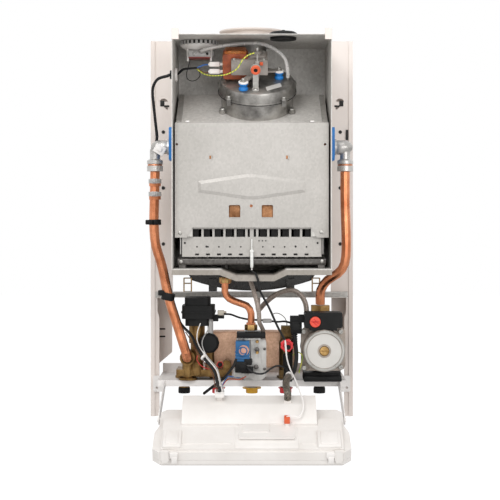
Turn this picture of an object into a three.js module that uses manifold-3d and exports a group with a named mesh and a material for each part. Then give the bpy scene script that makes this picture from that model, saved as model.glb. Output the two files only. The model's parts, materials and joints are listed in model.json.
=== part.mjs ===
// Wall-hung combination boiler with its front casing off and its control box swung open.
// Millimetres, +Z up, the front faces -Y and the wall is the plane Y = 0.
// Heights below are taken from the foot of the two uprights. The last lines shift the whole
// boiler so that the origin lies at the middle of the hanging rail's back face.
import * as THREE from 'three';
import { mergeVertices } from 'three/addons/utils/BufferGeometryUtils.js';
import Module from 'manifold-3d';

const wasm = await Module();
wasm.setup();

// ---------------------------------------------------------------- driving dimensions

const GAP = 0.3; // clearance between pieces that touch
const WELD = 1e-4; // distance under which two corners are one corner

const FRAME = { half: 197, height: 731, depth: 60, sheet: 1.5, band: 8, joggle: 3 };
const FRONT_FLANGE = { inner: 154, notchTop: 231, notchInner: 184, notchFoot: 203, footInner: 180.5 };
const REAR_FLANGE = { inner: 158.5, cutTop: 119, cutFoot: 97, footInner: 184 };
const UPRIGHT_HOLE = { radius: 2.6, x: 172.5, heights: [553.9, 444.8, 335.6] };
const HOOK_CUT = { x: 172, z: 609, radius: 8.5, triangle: 9 };

const RAIL_WIDTH = 41;
const RAIL = {
  low: FRAME.height - RAIL_WIDTH, high: FRAME.height, lip: 14, reach: 180, slotX: 110, slotRadius: 6,
  slotLength: 26,
};
const CROSS_RAIL = { low: 232, high: 243, half: 187, depth: 14 };
const LADDER = { x: 125, half: 8, top: 270, rung: 259, wire: 1.6 };

const TRAY = { half: 178, top: 79.5, front: -135, lip: 11.5, sheet: 1.5 };
const TRAY_EAR = { proud: 14, width: 22, foot: 48, hole: 2.5 };
const PIVOT = { y: -280, z: 27, radius: 4, play: 0.35 };
const ARM = { inner: 164.5, sheet: 2, width: 17, root: 34 };

const CHAMBER = { half: 143, front: -280, rear: -62, top: 716, floor: 295, sheet: 1.2, lip: 9.5 };
const CHAMBER_DIP = { left: -28, right: 40, leftEnd: -57, rightEnd: 63, drop: 11 };
const CASING_TAB = { inner: 130.5, width: 12.5, depth: 9, rise: 10, height: 20, wall: 2 };

const FLUE = { y: -118, radius: 28, wall: 1.6, flange: 62, flangeY: -128, height: 15, plate: 3 };
const INTAKE = { x: 57, y: -237, radius: 27, height: 8.5, plug: 24, depth: 6, screw: 3 };

const PANEL = { half: 138.5, y: -255, top: 559, foot: 352, cut: 370, sheet: 1.2 };
const PANEL_CUT = { outer: 117, inner: 107 };
const EMBOSS = {
  half: 97, low: PANEL.cut + 50.5, high: PANEL.cut + 96.5, endLow: PANEL.cut + 67.5,
  endHigh: PANEL.cut + 79.5,
  apex: 8, depth: 2, band: 6,
};
const WINDOW = {
  centres: [-31, 28], half: 10.25, low: PANEL.cut + 17.5, high: PANEL.cut + 40.6, sill: 4, corner: 2,
};
const PANEL_HOLES = [[-73, 497, 3.2], [65, 497, 3.2], [-1, PANEL.cut + 39, 3], [-135, 520, 2.4],
  [132, 520, 2.4]];

const HOOD = { half: 137, ridgeY: -135, ridge: 620, rear: -66, sheet: 1.2, inlet: 31 };
const CASING = { half: 129, rear: -92, low: 322, sheet: 1.2, flange: 5 };
const EXCHANGER = { half: 119, front: -246, rear: -104, skirt: 378, low: 488, high: 546, sheet: 1.2 };
const FINS = { count: 23, sheet: 1.6 };
const STUB = { y: -165, z: 519, radius: 9, end: 162 };

const BURNER = { bars: 11, pitch: 20.3, first: -101.5, bar: 5.3, front: -246, rear: -112 };
const BURNER_BAR = { low: 334, high: 368, slot: 1.6, throat: 9 };
const APRON = { half: 126, low: 317, high: 370, y: -246.3, sheet: 1.2, hole: 1.6, pitch: 19.8 };
const AIR_SLOT = { low: 353, high: 367.3, half: 7.9, count: 5, narrowX: 5.5, narrowHalf: 2.1 };
const MANIFOLD = { half: 134, low: 302, high: 314, front: -245, rear: -231, jet: 3, jetLength: 4.5 };
const ELECTRODE = { x: 0, low: 297, high: 331, radius: 3.2, tip: 1.2, tipTop: 349 };

const FAN = { x: 9.9, pan: 66, radius: 69.5, height: 54, seam: 31, wall: 3.2, along: 72.5, crown: 7,
  inlet: 29 };
const FAN_LUG = { angles: [224, 312, 20, 90, 160], radius: 5, height: 13 };
const FAN_FOOT = { angles: [205, 335, 90], radius: 6.5, thick: 6, stud: 3 };
const OUTLET = { half: 30, from: 20, to: 108, low: 6, high: 38 };
const ROTOR = { radius: 56, hub: 18, blades: 16, height: 27, blade: 1.8, inner: 42, floor: 7, shaft: 4 };
const MOTOR = { base: 72, left: -47, right: 19, depth: 48, height: 28, bore: 14, limb: 14, front: 9,
  bridge: 3.5 };
const COIL = { left: -62, low: 60, high: 108, half: 14.5, cheek: 2.4, lip: 2 };
const ISOLATOR = { radius: 8.5, waist: 6.2 };
const MOTOR_FEET = { left: [-25, -50], right: [40, 5], rear: [-22, 46] };
const PORT = { x: -3, along: -46, width: 10, height: 47, sheet: 2, ring: 9.5, bore: 3.2, foot: 12 };

const SWITCH = { x: -97, y: -180, z: 705, radius: 37, rim: 4, dish: 7, body: 13, bodyHeight: 17 };
const SEAL = { outer: 153.5, halfY: 30, halfZ: 31, rise: 5.5 };
const ELBOW = { inner: 154, left: -181, right: 174.5, flange: 15, neck: 9.5, nut: 15, foot: 474, top: 494 };
const ELBOW_BULB = [[0, 0], [11.5, 0], [13.2, 8], [13.4, 17], [12.2, 24], [9.5, 29.5], [5, 33.5], [0, 35]];

const PIPE_RADIUS = 9;
const GAS_PIPE_RADIUS = 6.5;
const FLOW_ROUTE = [[-181, -165, 473.6], [-181, -165, 345], [-168, -165, 297], [-154.5, -165, 235],
  [-140, -168, 190], [-127.5, -172, 151], [-123, -172, 137.5], [-121.4, -168, 128], [-121, -160, 124.2],
  [-121, -150.4, 124]];
const RETURN_ROUTE = [[174.5, -165, 473.6], [174.5, -165, 455], [174.5, -165, 420], [174.5, -165, 305],
  [166, -157, 287], [142, -138, 268], [131, -128, 250], [130, -125, 223]];
const GAS_ROUTE = [[-49.5, -168, 268], [-49.5, -168, 246], [-42, -168, 236], [-24, -168, 228.5],
  [-8, -168, 222], [-1.5, -168, 210], [-1.5, -168, 190.6]];
const GAS_NUT = { radius: 10, height: 11, seat: 275.5 };
const SENSOR_CLIPS = [446, 421]; // heights of the two probe seats on the flow pipe

const VESSEL = { half: 152, low: 243, high: 640, back: -2.5, front: -59.5, corner: 70, bulge: 34, rim: 4 };
const VESSEL_FEET = { left: -76, right: 75, half: 8, high: 268 };

const PLATES = { left: -86, right: 84, low: 100, high: 169, back: -62, front: -106, count: 6, corner: 14 };
const TAIL = { pitch: 65, radius: 10, flange: 17, flangeHeight: 4, foot: 52, y: -92 };
const BLOCK = { left: -143, right: -38, back: -110, front: -136, low: 8, high: 20 };
const DRAIN = { x: -47, z: 112, radius: 8, front: -158 };
const FLOW_RING = { x: -121, z: 124, radius: 14.5, wall: 3.4, front: -156, flange: 17.5, neck: 11 };
const STEM = { x: -104, y: -128, radius: 15, top: 184 };
const DIVERTER = { left: -131, right: -70, low: 184.3, high: 237, front: -166, back: -104 };
const CAP = { x: -80, z: 152, radius: 19, seat: -146.3, front: -162, sides: 12, shell: 14 };

const GAS_VALVE = { left: -30, right: 27, low: 89, high: 173, front: -184, back: -112 };
const VALVE_FACE = { left: -2, right: 17, low: 112, high: 166, foot: 20, thick: 3 };
const COIL_BOX = { left: -30, right: -4.5, low: 122, high: 159.5, front: -198, knob: 9.5 };

const COLD = { x: 65, y: -122, radius: 13, top: 150, arm: 11, armFront: -176 };
const RELIEF = { z: 151, radius: 12.5, length: 14, ribs: 8, seat: -177 };
const RELIEF_PORT = { half: 10, low: 166, high: 184 };

const PUMP = { x: 133, z: 143, can: 39, front: -214, flangeY: -172, flange: 6, backY: -104 };
const PUMP_SCREWS = { halfX: 33.5, halfZ: 33, lug: 8, screw: 4.2 };
const PUMP_LABEL = { radius: 32, lip: 1.2, rim: 3 };
const VENT_SCREW = { radius: 8.8, boss: 12, length: 5, slot: 1.6 };
const VOLUTE = { radius: 41, port: 14, portTop: 199 };
const PUMP_NUT = { radius: 20, low: 199.3, high: 221 };
const TERMINALS = { left: 97, right: 167, low: 184.6, high: 213, front: -208, back: -164.6 };
const SPEED_KNOB = { x: 116.5, z: 196, radius: 10, length: 6 };

const VESSEL_HOSE_RADIUS = 4.8;
const VENT_HOSE_RADIUS = 4.1;
const TUBE_RADIUS = 3.5;
const VESSEL_HOSE = [[12, -31, 230.5], [12, -31, 222], [12, -48, 211], [14, -80, 209], [24, -104, 222],
  [42, -118, 238], [60, -124, 247], [78, -124, 249], [92, -122, 241], [102, -124, 224], [104, -125, 196],
  [104, -125, 178.4]];
const VENT_HOSE = [[-3, -206, 283.5], [-3, -206, 274], [3, -214, 255], [9, -217, 234], [13, -217, 212],
  [14, -210, 196], [18, -194, 186], [21.3, -176, 176], [21.3, -174, 168], [21.3, -174, 161.5]];
const NIPPLE = { x: 56, along: 0, foot: 48, top: 58, radius: 2.6 };
const SWITCH_TUBE = [[-93, -209.7, 693], [-92, -216, 693.4], [-80, -220, 697], [-38, -212, 704.5],
  [-4, -210, 707.5],
  [24, -210, 705], [48, -214, 692], [61, -219, 677]];

const MAIN_HARNESS = [[-147, -190, 654], [-156, -190, 650], [-176, -178, 618], [-188, -172, 575],
  [-192, -188, 540], [-193, -190, 470], [-193, -184, 380], [-191, -170, 330], [-184, -147, 288],
  [-168, -142, 245], [-148, -142, 211], [-132, -144, 185], [-114, -153, 167], [-104, -180, 151],
  [-90, -212, 133], [-69, -236, 110], [-63, -264, 96],
  [-60, -290, 89]];
const IGNITION_LEAD = [[0, -255, 296.2], [0.2, -256, 291.5], [3, -270, 290], [7, -284, 287.5],
  [11, -287, 277], [13, -282, 262],
  [31, -262, 226], [47, -245, 190], [55, -240, 175], [60, -238, 166], [64, -238, 131], [69, -240, 115],
  [77, -280, 100], [86, -313, 78], [90, -330, 64], [88, -339, 51], [80, -347, 44]];
const PUMP_CABLE = [[79, -177.5, 182.2], [79.2, -178, 172], [82, -206, 130], [76, -228, 106], [66, -246, 100],
  [62, -268, 96], [61, -292, 89]];

const BOX = { open: 110, half: 162, farHalf: 169, low: -20, high: 130, seam: -5, front: -17, wall: 2.4 };
const BOX_BACK = { near: 10, mid: 22, rim: 14, hump: 45, humpLeft: -122, humpRight: 113 };
const BOX_STEP = { hump: 60, shoulder: 22, flat: 66, rim: 125 };
const BOX_LID = { left: -16, right: 30, low: 52, high: 86, rise: 3 };
const BOX_SOCKETS = [
  { x: -57, z: 6, half: 5, back: 45, top: 53 },
  { x: 63, z: 16, half: 6, back: 45, top: 50 },
  { x: 61, z: 60, half: 3, back: 24, top: 29 },
];
const KNOB = { radius: 18, length: 15, skirt: 21, x: 104, z: 56, shaft: 4, ribs: 14 };
const DISPLAY = { half: 34, low: 44, high: 72, rise: 1.6 };
const BUTTON = { x: 0, z: 26, radius: 6, length: 5, travel: 1.5 };
const GAUGE = { x: 62, z: 56, radius: 16, rim: 2, depth: 9 };

// ---------------------------------------------------------------- shape helpers

const mean = (a, b) => (a + b) / 2;

// Signed volume of a triangle list, used to turn every face outwards.
function signedVolume(points, triangles) {
  const corner = (i) => new THREE.Vector3().fromArray(points, triangles[i] * 3);
  let sum = 0;
  for (let i = 0; i < triangles.length; i += 3) {
    sum += corner(i).dot(corner(i + 1).cross(corner(i + 2)));
  }
  return sum / 6;
}

function toSolid(geometry) {
  const bare = geometry.clone();
  bare.deleteAttribute('normal');
  bare.deleteAttribute('uv');
  const merged = mergeVertices(bare, WELD);
  const points = new Float32Array(merged.attributes.position.array);
  const triangles = [];
  for (let i = 0; i < merged.index.count; i += 3) {
    const [a, b, c] = [0, 1, 2].map((k) => merged.index.array[i + k]);
    if (a !== b && b !== c && c !== a) triangles.push(a, b, c);
  }
  if (signedVolume(points, triangles) < 0) triangles.reverse();
  const triVerts = new Uint32Array(triangles);
  return new wasm.Manifold(new wasm.Mesh({ numProp: 3, vertProperties: points, triVerts }));
}

function toGeometry(solid) {
  const mesh = solid.getMesh();
  const geometry = new THREE.BufferGeometry();
  geometry.setAttribute('position', new THREE.BufferAttribute(mesh.vertProperties, 3));
  geometry.setIndex(new THREE.BufferAttribute(mesh.triVerts, 1));
  geometry.computeVertexNormals();
  return geometry;
}

const join = (...solids) => solids.reduce((sum, next) => sum.add(next));
const cut = (body, ...tools) => tools.reduce((rest, tool) => rest.subtract(tool), body);

const basis = (x, y, z) => new THREE.Matrix4().makeBasis(
  new THREE.Vector3(...x), new THREE.Vector3(...y), new THREE.Vector3(...z));
const ALONG_Y = basis([1, 0, 0], [0, 0, 1], [0, -1, 0]); // outline in x, z and depth towards the front
const ALONG_X = basis([0, 1, 0], [0, 0, 1], [1, 0, 0]); // outline in y, z and depth towards +X

function extruded(outline, holes, depth, placement, offset) {
  const shape = new THREE.Shape(outline.map(([a, b]) => new THREE.Vector2(a, b)));
  shape.holes = holes.map((hole) => new THREE.Path(hole.map(([a, b]) => new THREE.Vector2(a, b))));
  const geometry = new THREE.ExtrudeGeometry(shape, { depth, bevelEnabled: false });
  geometry.applyMatrix4(placement);
  geometry.translate(...offset);
  return toSolid(geometry);
}

// A plate whose outline lies in x, z and whose faces are at yBack and yFront (yFront < yBack).
const plateY = (outline, yBack, yFront, holes = []) =>
  extruded(outline, holes, yBack - yFront, ALONG_Y, [0, yBack, 0]);
const plateX = (outline, xLow, xHigh, holes = []) =>
  extruded(outline, holes, xHigh - xLow, ALONG_X, [xLow, 0, 0]);
const plateZ = (outline, zLow, zHigh, holes = []) =>
  extruded(outline, holes, zHigh - zLow, new THREE.Matrix4(), [0, 0, zLow]);

const rect = (a0, a1, b0, b1) => [[a0, b0], [a1, b0], [a1, b1], [a0, b1]];
const block = (x0, x1, y0, y1, z0, z1) => plateZ(rect(x0, x1, y0, y1), z0, z1);

function arc(a, b, radius, from, to, steps) {
  return Array.from({ length: steps + 1 }, (_, i) => {
    const angle = THREE.MathUtils.degToRad(from + (to - from) * i / steps);
    return [a + radius * Math.cos(angle), b + radius * Math.sin(angle)];
  });
}

const circle = (a, b, radius, sides) => arc(a, b, radius, 180 / sides, 360 + 180 / sides, sides).slice(1);

function rounded(a0, a1, b0, b1, radius, steps = 3) {
  return [
    ...arc(a1 - radius, b1 - radius, radius, 0, 90, steps),
    ...arc(a0 + radius, b1 - radius, radius, 90, 180, steps),
    ...arc(a0 + radius, b0 + radius, radius, 180, 270, steps),
    ...arc(a1 - radius, b0 + radius, radius, 270, 360, steps),
  ];
}

// A slot with round ends, standing upright or lying.
function slotted(a, b, radius, length, upright = true) {
  const half = length / 2 - radius;
  if (upright) {
    return [...arc(a, b + half, radius, 0, 180, 4), ...arc(a, b - half, radius, 180, 360, 4)];
  }
  return [...arc(a + half, b, radius, -90, 90, 4), ...arc(a - half, b, radius, 90, 270, 4)];
}

// Closed outline of a bent sheet: the path is one face and the other lies to its right.
function bentSheet(path, sheet) {
  const at = path.map(([a, b]) => new THREE.Vector2(a, b));
  const rightOf = (from, to) => {
    const way = to.clone().sub(from).normalize();
    return new THREE.Vector2(way.y, -way.x);
  };
  const inner = at.map((point, i) => {
    const before = rightOf(at[Math.max(i - 1, 0)], at[Math.max(i, 1)]);
    const after = rightOf(at[Math.min(i, at.length - 2)], at[Math.min(i + 1, at.length - 1)]);
    const mitre = before.clone().add(after);
    return point.clone().add(mitre.multiplyScalar(2 * sheet / mitre.lengthSq()));
  });
  return [...at, ...inner.reverse()].map(({ x, y }) => [x, y]);
}

// A turned piece: the profile is [radius, height] and the height runs from base along axis.
function turned(profile, base, axis, sides = 20) {
  const geometry = new THREE.LatheGeometry(profile.map(([r, h]) => new THREE.Vector2(r, h)), sides);
  const turn = new THREE.Quaternion().setFromUnitVectors(new THREE.Vector3(0, 1, 0), axis);
  geometry.applyQuaternion(turn);
  geometry.translate(base.x, base.y, base.z);
  return toSolid(geometry);
}

const vec = (x, y, z) => new THREE.Vector3(x, y, z);
const UP = vec(0, 0, 1);
const FRONT = vec(0, -1, 0);
const RIGHT = vec(1, 0, 0);

const rodProfile = (radius, length) => [[0, 0], [radius, 0], [radius, length], [0, length]];
const rod = (radius, length, base, axis, sides = 20) => turned(rodProfile(radius, length), base, axis, sides);
const ringProfile = (outer, inner, length) =>
  [[inner, 0], [outer, 0], [outer, length], [inner, length], [inner, 0]];
const pipeRing = (outer, inner, length, base, axis, sides = 20) =>
  turned(ringProfile(outer, inner, length), base, axis, sides);

// A bent tube: a smooth curve through the route's points.
function tube(route, radius, sides, stepLength) {
  const curve = new THREE.CatmullRomCurve3(route.map((point) => vec(...point)), false, 'centripetal');
  const section = new THREE.Shape(circle(0, 0, radius, sides).map(([a, b]) => new THREE.Vector2(a, b)));
  const steps = Math.round(curve.getLength() / stepLength);
  return toSolid(new THREE.ExtrudeGeometry(section, { steps, extrudePath: curve }));
}

// Places a piece that was made round the world axes into a tilted frame.
function moved(solid, matrix) {
  return toSolid(toGeometry(solid).applyMatrix4(matrix));
}

// ---------------------------------------------------------------- materials

const paint = (color, roughness = 0.45, metalness = 0) =>
  new THREE.MeshStandardMaterial({ color, roughness, metalness });

const finish = {
  creamPaint: paint('#e8e0da', 0.5),
  whitePaint: paint('#efebe8', 0.45),
  galvanised: paint('#b4b0aa', 0.45, 0.8),
  aluminised: paint('#cfccc7', 0.4, 0.7),
  darkSteel: paint('#4a4846', 0.5, 0.6),
  copper: paint('#d0804f', 0.3, 1),
  brass: paint('#b08a45', 0.35, 1),
  castAluminium: paint('#8f8d8b', 0.5, 0.9),
  laminations: paint('#a39a93', 0.5, 0.7),
  coilResin: paint('#b4552b', 0.55),
  blueRubber: paint('#1478c8', 0.55),
  silicone: paint('#d9d6d2', 0.35),
  whitePlastic: paint('#f0ece9', 0.45),
  boxPlastic: paint('#efe9e4', 0.5),
  greyPlastic: paint('#b9b6b3', 0.45),
  blackPlastic: paint('#232323', 0.5),
  cable: paint('#1d1d1e', 0.6),
  bluePlastic: paint('#1a6ea6', 0.5),
  redPlastic: paint('#e2262c', 0.4),
  orangePlastic: paint('#ee4438', 0.4),
  beigeSteel: paint('#c5a88f', 0.4, 0.7),
  vesselPaint: paint('#45423f', 0.5, 0.2),
  pumpCast: paint('#a99a8d', 0.5, 0.6),
  ceramic: paint('#efefec', 0.3),
  lens: paint('#20282b', 0.15),
};

// ---------------------------------------------------------------- frame and chamber

// The C-shaped upright. Its front flange is stepped back behind an outer band.
function upright(side) {
  const { half, height, depth, sheet, band, joggle } = FRAME;
  const path = [[REAR_FLANGE.inner, 0], [half, 0], [half, -depth], [half - band, -depth],
    [half - band, joggle - depth], [FRONT_FLANGE.inner, joggle - depth]];
  const outline = bentSheet(path, sheet).map(([x, y]) => [side * x, y]);
  const body = plateZ(outline, 0, height);
  const frontCut = [[FRONT_FLANGE.inner - 1, -1], [FRONT_FLANGE.footInner, -1],
    [FRONT_FLANGE.footInner, FRONT_FLANGE.notchFoot - 10], [FRONT_FLANGE.notchInner, FRONT_FLANGE.notchFoot],
    [FRONT_FLANGE.notchInner, FRONT_FLANGE.notchTop], [FRONT_FLANGE.inner - 1, FRONT_FLANGE.notchTop]];
  const rearCut = [[REAR_FLANGE.inner - 1, -1], [REAR_FLANGE.footInner, -1],
    [REAR_FLANGE.footInner, REAR_FLANGE.cutFoot], [REAR_FLANGE.inner, REAR_FLANGE.cutTop],
    [REAR_FLANGE.inner - 1, REAR_FLANGE.cutTop]];
  const mirror = (points) => points.map(([x, z]) => [side * x, z]);
  const front = (points) => plateY(mirror(points), -depth / 2, -depth - 1);
  const rear = (points) => plateY(mirror(points), 1, -depth / 2);
  const holes = UPRIGHT_HOLE.heights.map((z) => front(circle(UPRIGHT_HOLE.x, z, UPRIGHT_HOLE.radius, 8)));
  const { x, z, radius, triangle } = HOOK_CUT;
  const knockOut = front([...arc(x, z + 2, radius, 15, 165, 6)]);
  const hook = front([[x - radius, z - 2], [x - radius, z - 2 - triangle], [x + 3 - radius, z - 2 - triangle],
    [x - radius + triangle, z - 5]]);
  const slots = [0, 15].map((rise) => rear(slotted(178, 150 + rise, 1.6, 12, false)));
  return cut(body, front(frontCut), rear(rearCut), knockOut, hook, ...holes, ...slots);
}

function hangingRail() {
  const { low, high, lip, reach, slotX, slotRadius, slotLength } = RAIL;
  const edge = REAR_FLANGE.inner - GAP;
  const hop = FRAME.sheet + GAP;
  const path = [[reach, -hop], [edge - 6, -hop], [edge - 6, 0], [-edge + 6, 0], [-edge + 6, -hop],
    [-reach, -hop]];
  const strip = plateZ(bentSheet(path.slice().reverse(), FRAME.sheet), low, high);
  const shelf = block(-edge + 8, edge - 8, -lip, -FRAME.sheet / 2, high - FRAME.sheet, high);
  const hooks = [-slotX, slotX].map((x) => plateY([
    ...slotted(x, mean(low, high) - 2, slotRadius, slotLength)], 1, -FRAME.sheet - 1));
  return cut(join(strip, shelf), ...hooks);
}

function crossRail() {
  const { low, high, half, depth } = CROSS_RAIL;
  const back = FRAME.joggle - FRAME.depth - GAP;
  const path = [[back - depth, high], [back, high], [back, low], [back - depth, low]];
  const channel = plateX(bentSheet(path, FRAME.sheet), -half, half);
  const ladder = (side) => {
    const x = side * LADDER.x;
    const outer = rect(x - LADDER.half, x + LADDER.half, high - 1, LADDER.top);
    const inset = LADDER.wire;
    const lower = rect(x - LADDER.half + inset, x + LADDER.half - inset, high + 1, LADDER.rung - inset / 2);
    const upper = rect(x - LADDER.half + inset, x + LADDER.half - inset, LADDER.rung + inset / 2,
      LADDER.top - inset);
    return plateY(outer, back, back - inset, [lower, upper]);
  };
  return join(channel, ladder(-1), ladder(1));
}

function hingeArm(side) {
  const { inner, sheet, width, root } = ARM;
  const half = width / 2;
  const outline = [[TRAY.front + root, TRAY.top - TRAY.lip], [TRAY.front + root, TRAY.top],
    [TRAY.front + 1, TRAY.top], [PIVOT.y + 4, PIVOT.z + half + 4],
    ...arc(PIVOT.y, PIVOT.z, half, 90, 270, 6), [PIVOT.y + 8, PIVOT.z - half]];
  const hole = circle(PIVOT.y, PIVOT.z, PIVOT.radius + PIVOT.play, 12);
  const low = side > 0 ? inner : -inner - sheet;
  return plateX(outline, low, low + sheet, [hole]);
}

function bottomTray() {
  const { half, top, front, lip, sheet } = TRAY;
  const back = -FRAME.sheet - 2 * GAP;
  const holes = [-2, -1, 0, 1, 2].map((n) => circle(n * TAIL.pitch, TAIL.y, TAIL.radius + 1.6, 8));
  const deck = plateZ(rect(-half, half, front, back), top - sheet, top, holes);
  const frontLip = block(-half, half, front, front + sheet, top - lip, top);
  const rearLip = block(-half + 1, half - 1, back - sheet, back, top, top + 18);
  const ears = [-1, 1].map((side) => {
    const { proud, width, foot } = TRAY_EAR;
    const middle = side * (half + proud - width / 2);
    const outline = rounded(middle - width / 2, middle + width / 2, foot, top, 3, 2);
    const hole = circle(side * (half + proud / 2), foot + 8, TRAY_EAR.hole, 8);
    return plateY(outline, -FRAME.depth - GAP, -FRAME.depth - GAP - sheet, [hole]);
  });
  return join(deck, frontLip, rearLip, ...ears, hingeArm(-1), hingeArm(1));
}

const floorLine = (z) => [[-CHAMBER.half, z], [CHAMBER_DIP.leftEnd, z],
  [CHAMBER_DIP.left, z - CHAMBER_DIP.drop], [CHAMBER_DIP.right, z - CHAMBER_DIP.drop],
  [CHAMBER_DIP.rightEnd, z], [CHAMBER.half, z]];

// The sealed chamber: an open-fronted sheet box whose floor is pressed down in the middle.
function sealedChamber() {
  const { half, front, rear, top, floor, sheet, lip } = CHAMBER;
  const outer = [...floorLine(floor), [half, top], [-half, top]];
  const inner = [...floorLine(floor + sheet).map(([x, z]) => [x * (half - sheet) / half, z]),
    [half - sheet, top - sheet], [-half + sheet, top - sheet]];
  const shell = plateY(outer, rear, front, [inner]);
  const rearWall = plateY(outer, rear, rear - sheet);
  const lipBand = plateY([...floorLine(floor - lip), ...floorLine(floor + sheet).reverse()], front + sheet,
    front);
  const flueHole = rod(FLUE.radius + 1, 8, vec(0, FLUE.y, top - 5), UP, 18);
  const intakeHole = rod(INTAKE.plug + 1, 8, vec(INTAKE.x, INTAKE.y, top - 5), UP, 14);
  const pipeHole = rod(STUB.radius + 6, 2 * half + 20, vec(-half - 10, STUB.y, STUB.z), RIGHT, 12);
  const gasHole = rod(GAS_PIPE_RADIUS + 1.5, 20, vec(GAS_ROUTE[0][0], GAS_ROUTE[0][1], floor - 15), UP, 10);
  const cableHole = rod(6, 12, vec(-half - 6, MAIN_HARNESS[0][1], MAIN_HARNESS[0][2]), RIGHT, 10);
  return cut(join(shell, rearWall, lipBand), flueHole, intakeHole, pipeHole, gasHole, cableHole);
}

// A moulded clip over the chamber's top front corner, which the front casing hooks on.
function casingTab(side) {
  const { inner, width, depth, rise, height, wall } = CASING_TAB;
  const [low, high] = side > 0 ? [inner, inner + width] : [-inner - width, -inner];
  const front = CHAMBER.front - GAP;
  const face = block(low, high, front - wall, front, CHAMBER.top + rise - height, CHAMBER.top + rise);
  const top = CHAMBER.top + GAP;
  const roof = block(low, high, front - wall, front + depth, top, top + wall);
  const hook = block(low, high, front - wall, front + 3, CHAMBER.top + rise - wall, CHAMBER.top + rise);
  return join(face, roof, hook);
}

// The flange that the concentric flue is screwed to, with its spigot.
function flueCollar() {
  const { flange, flangeY, height, plate, radius, wall } = FLUE;
  const base = CHAMBER.top + GAP;
  const centre = vec(0, flangeY, base);
  const disc = rod(flange, plate, centre, UP, 18);
  const spigot = pipeRing(flange - 12, flange - 15, height, centre, UP, 18);
  const inner = pipeRing(radius + 3, radius + 1, height, vec(0, FLUE.y, base), UP, 18);
  const bore = rod(radius + 1, height + 10, vec(0, FLUE.y, base - 5), UP, 18);
  const screws = [40, 140, 220, 320].map((angle) => {
    const [x, y] = arc(0, flangeY, flange - 6, angle, angle, 1)[0];
    return rod(3, plate + 2, vec(x, y, base), UP, 6);
  });
  return cut(join(disc, spigot, inner, ...screws), bore);
}

function intakeCap() {
  const { x, y, radius, height, plug, depth, screw } = INTAKE;
  const base = CHAMBER.top + GAP;
  const crown = turned([[0, -depth], [plug, -depth], [plug, 0], [radius, 0], [radius, height - 4],
    [radius - 6, height], [0, height]], vec(x, y, base), UP, 18);
  const head = rod(screw, 1.5, vec(x, y - radius + 9, base + height - 0.5), UP, 8);
  return join(crown, head);
}

// ---------------------------------------------------------------- combustion parts

const hoodFoot = { y: PANEL.y + 2, z: PANEL.top + GAP };
const hoodSlope = Math.atan2(HOOD.ridge - hoodFoot.z, HOOD.ridgeY - hoodFoot.y);

// Gathers the flue gas under the fan: a front slope, a flat top and two side walls.
function flueHood() {
  const { half, ridgeY, ridge, rear, sheet, inlet } = HOOD;
  const foot = hoodFoot.z;
  const outer = [[hoodFoot.y, foot], [ridgeY, ridge], [rear, ridge], [rear, foot]];
  const body = plateX(outer, -half, half);
  const slope = (offset) => offset / Math.cos(hoodSlope);
  const inner = [[hoodFoot.y + 2 * sheet, foot - 1], [hoodFoot.y + 2 * sheet, foot],
    [ridgeY, ridge - slope(sheet)], [rear - sheet, ridge - sheet], [rear - sheet, foot - 1]];
  const hollow = plateX(inner, -half + sheet, half - sheet);
  const inletHole = rod(inlet, 20, fanPoint(0, 0, -10), fanAxis, 18);
  return cut(body, hollow, inletHole);
}

function panelOutline() {
  const { half, top, foot, cut: notch } = PANEL;
  return [[-half, foot], [-PANEL_CUT.outer, foot], [-PANEL_CUT.inner, notch], [PANEL_CUT.inner, notch],
    [PANEL_CUT.outer, foot], [half, foot], [half, top], [-half, top]];
}

// The long diamond pressed forward out of the panel, with sloping edges.
function pressedDiamond(back) {
  const { half, low, high, endLow, endHigh, apex, depth, band } = EMBOSS;
  const side = half - band;
  const outline = [[-side, endLow + 1], [-apex, low + band], [apex, low + band], [side, endLow + 1],
    [side, endHigh - 1], [apex, high - band], [-apex, high - band], [-side, endHigh - 1]];
  const shape = new THREE.Shape(outline.map(([x, z]) => new THREE.Vector2(x, z)));
  const geometry = new THREE.ExtrudeGeometry(shape, {
    depth: 0.1, bevelEnabled: true, bevelThickness: depth, bevelSize: band, bevelSegments: 1,
  });
  geometry.applyMatrix4(ALONG_Y);
  geometry.translate(0, back, 0);
  return cut(toSolid(geometry), block(-half - 1, half + 1, back - 0.05, back + depth + 1, low - 1, high + 1));
}

// Front panel of the combustion chamber, with a pressed diamond, two windows and its holes.
function combustionFront() {
  const { y, sheet, half, top, foot } = PANEL;
  const holes = PANEL_HOLES.map(([x, z, radius]) => circle(x, z, radius, 6));
  const windows = WINDOW.centres.map((x) =>
    rounded(x - WINDOW.half, x + WINDOW.half, WINDOW.low, WINDOW.high, WINDOW.corner, 2));
  const openings = [...holes, ...windows].map((hole) => plateY(hole, y + 1, y - sheet - 1));
  const flat = plateY(panelOutline(), y, y - sheet);
  const plate = cut(join(flat, pressedDiamond(y - sheet + 0.05)), pressedDiamond(y + 0.05), ...openings);
  const sills = WINDOW.centres.map((x) =>
    block(x - WINDOW.half, x + WINDOW.half, y - sheet / 2, y + WINDOW.sill, WINDOW.low - sheet, WINDOW.low));
  const sides = [-1, 1].map((side) => {
    const edge = side * half;
    return block(Math.min(edge, edge - side * sheet), Math.max(edge, edge - side * sheet), y - sheet / 2,
      y + 12,
      foot, top);
  });
  const screws = [-1, 1].map((side) => rod(3.4, 2.4, vec(side * (half - 9), y - sheet / 2, foot + 10), FRONT,
    8));
  return join(plate, ...sills, ...sides, ...screws);
}

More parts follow.
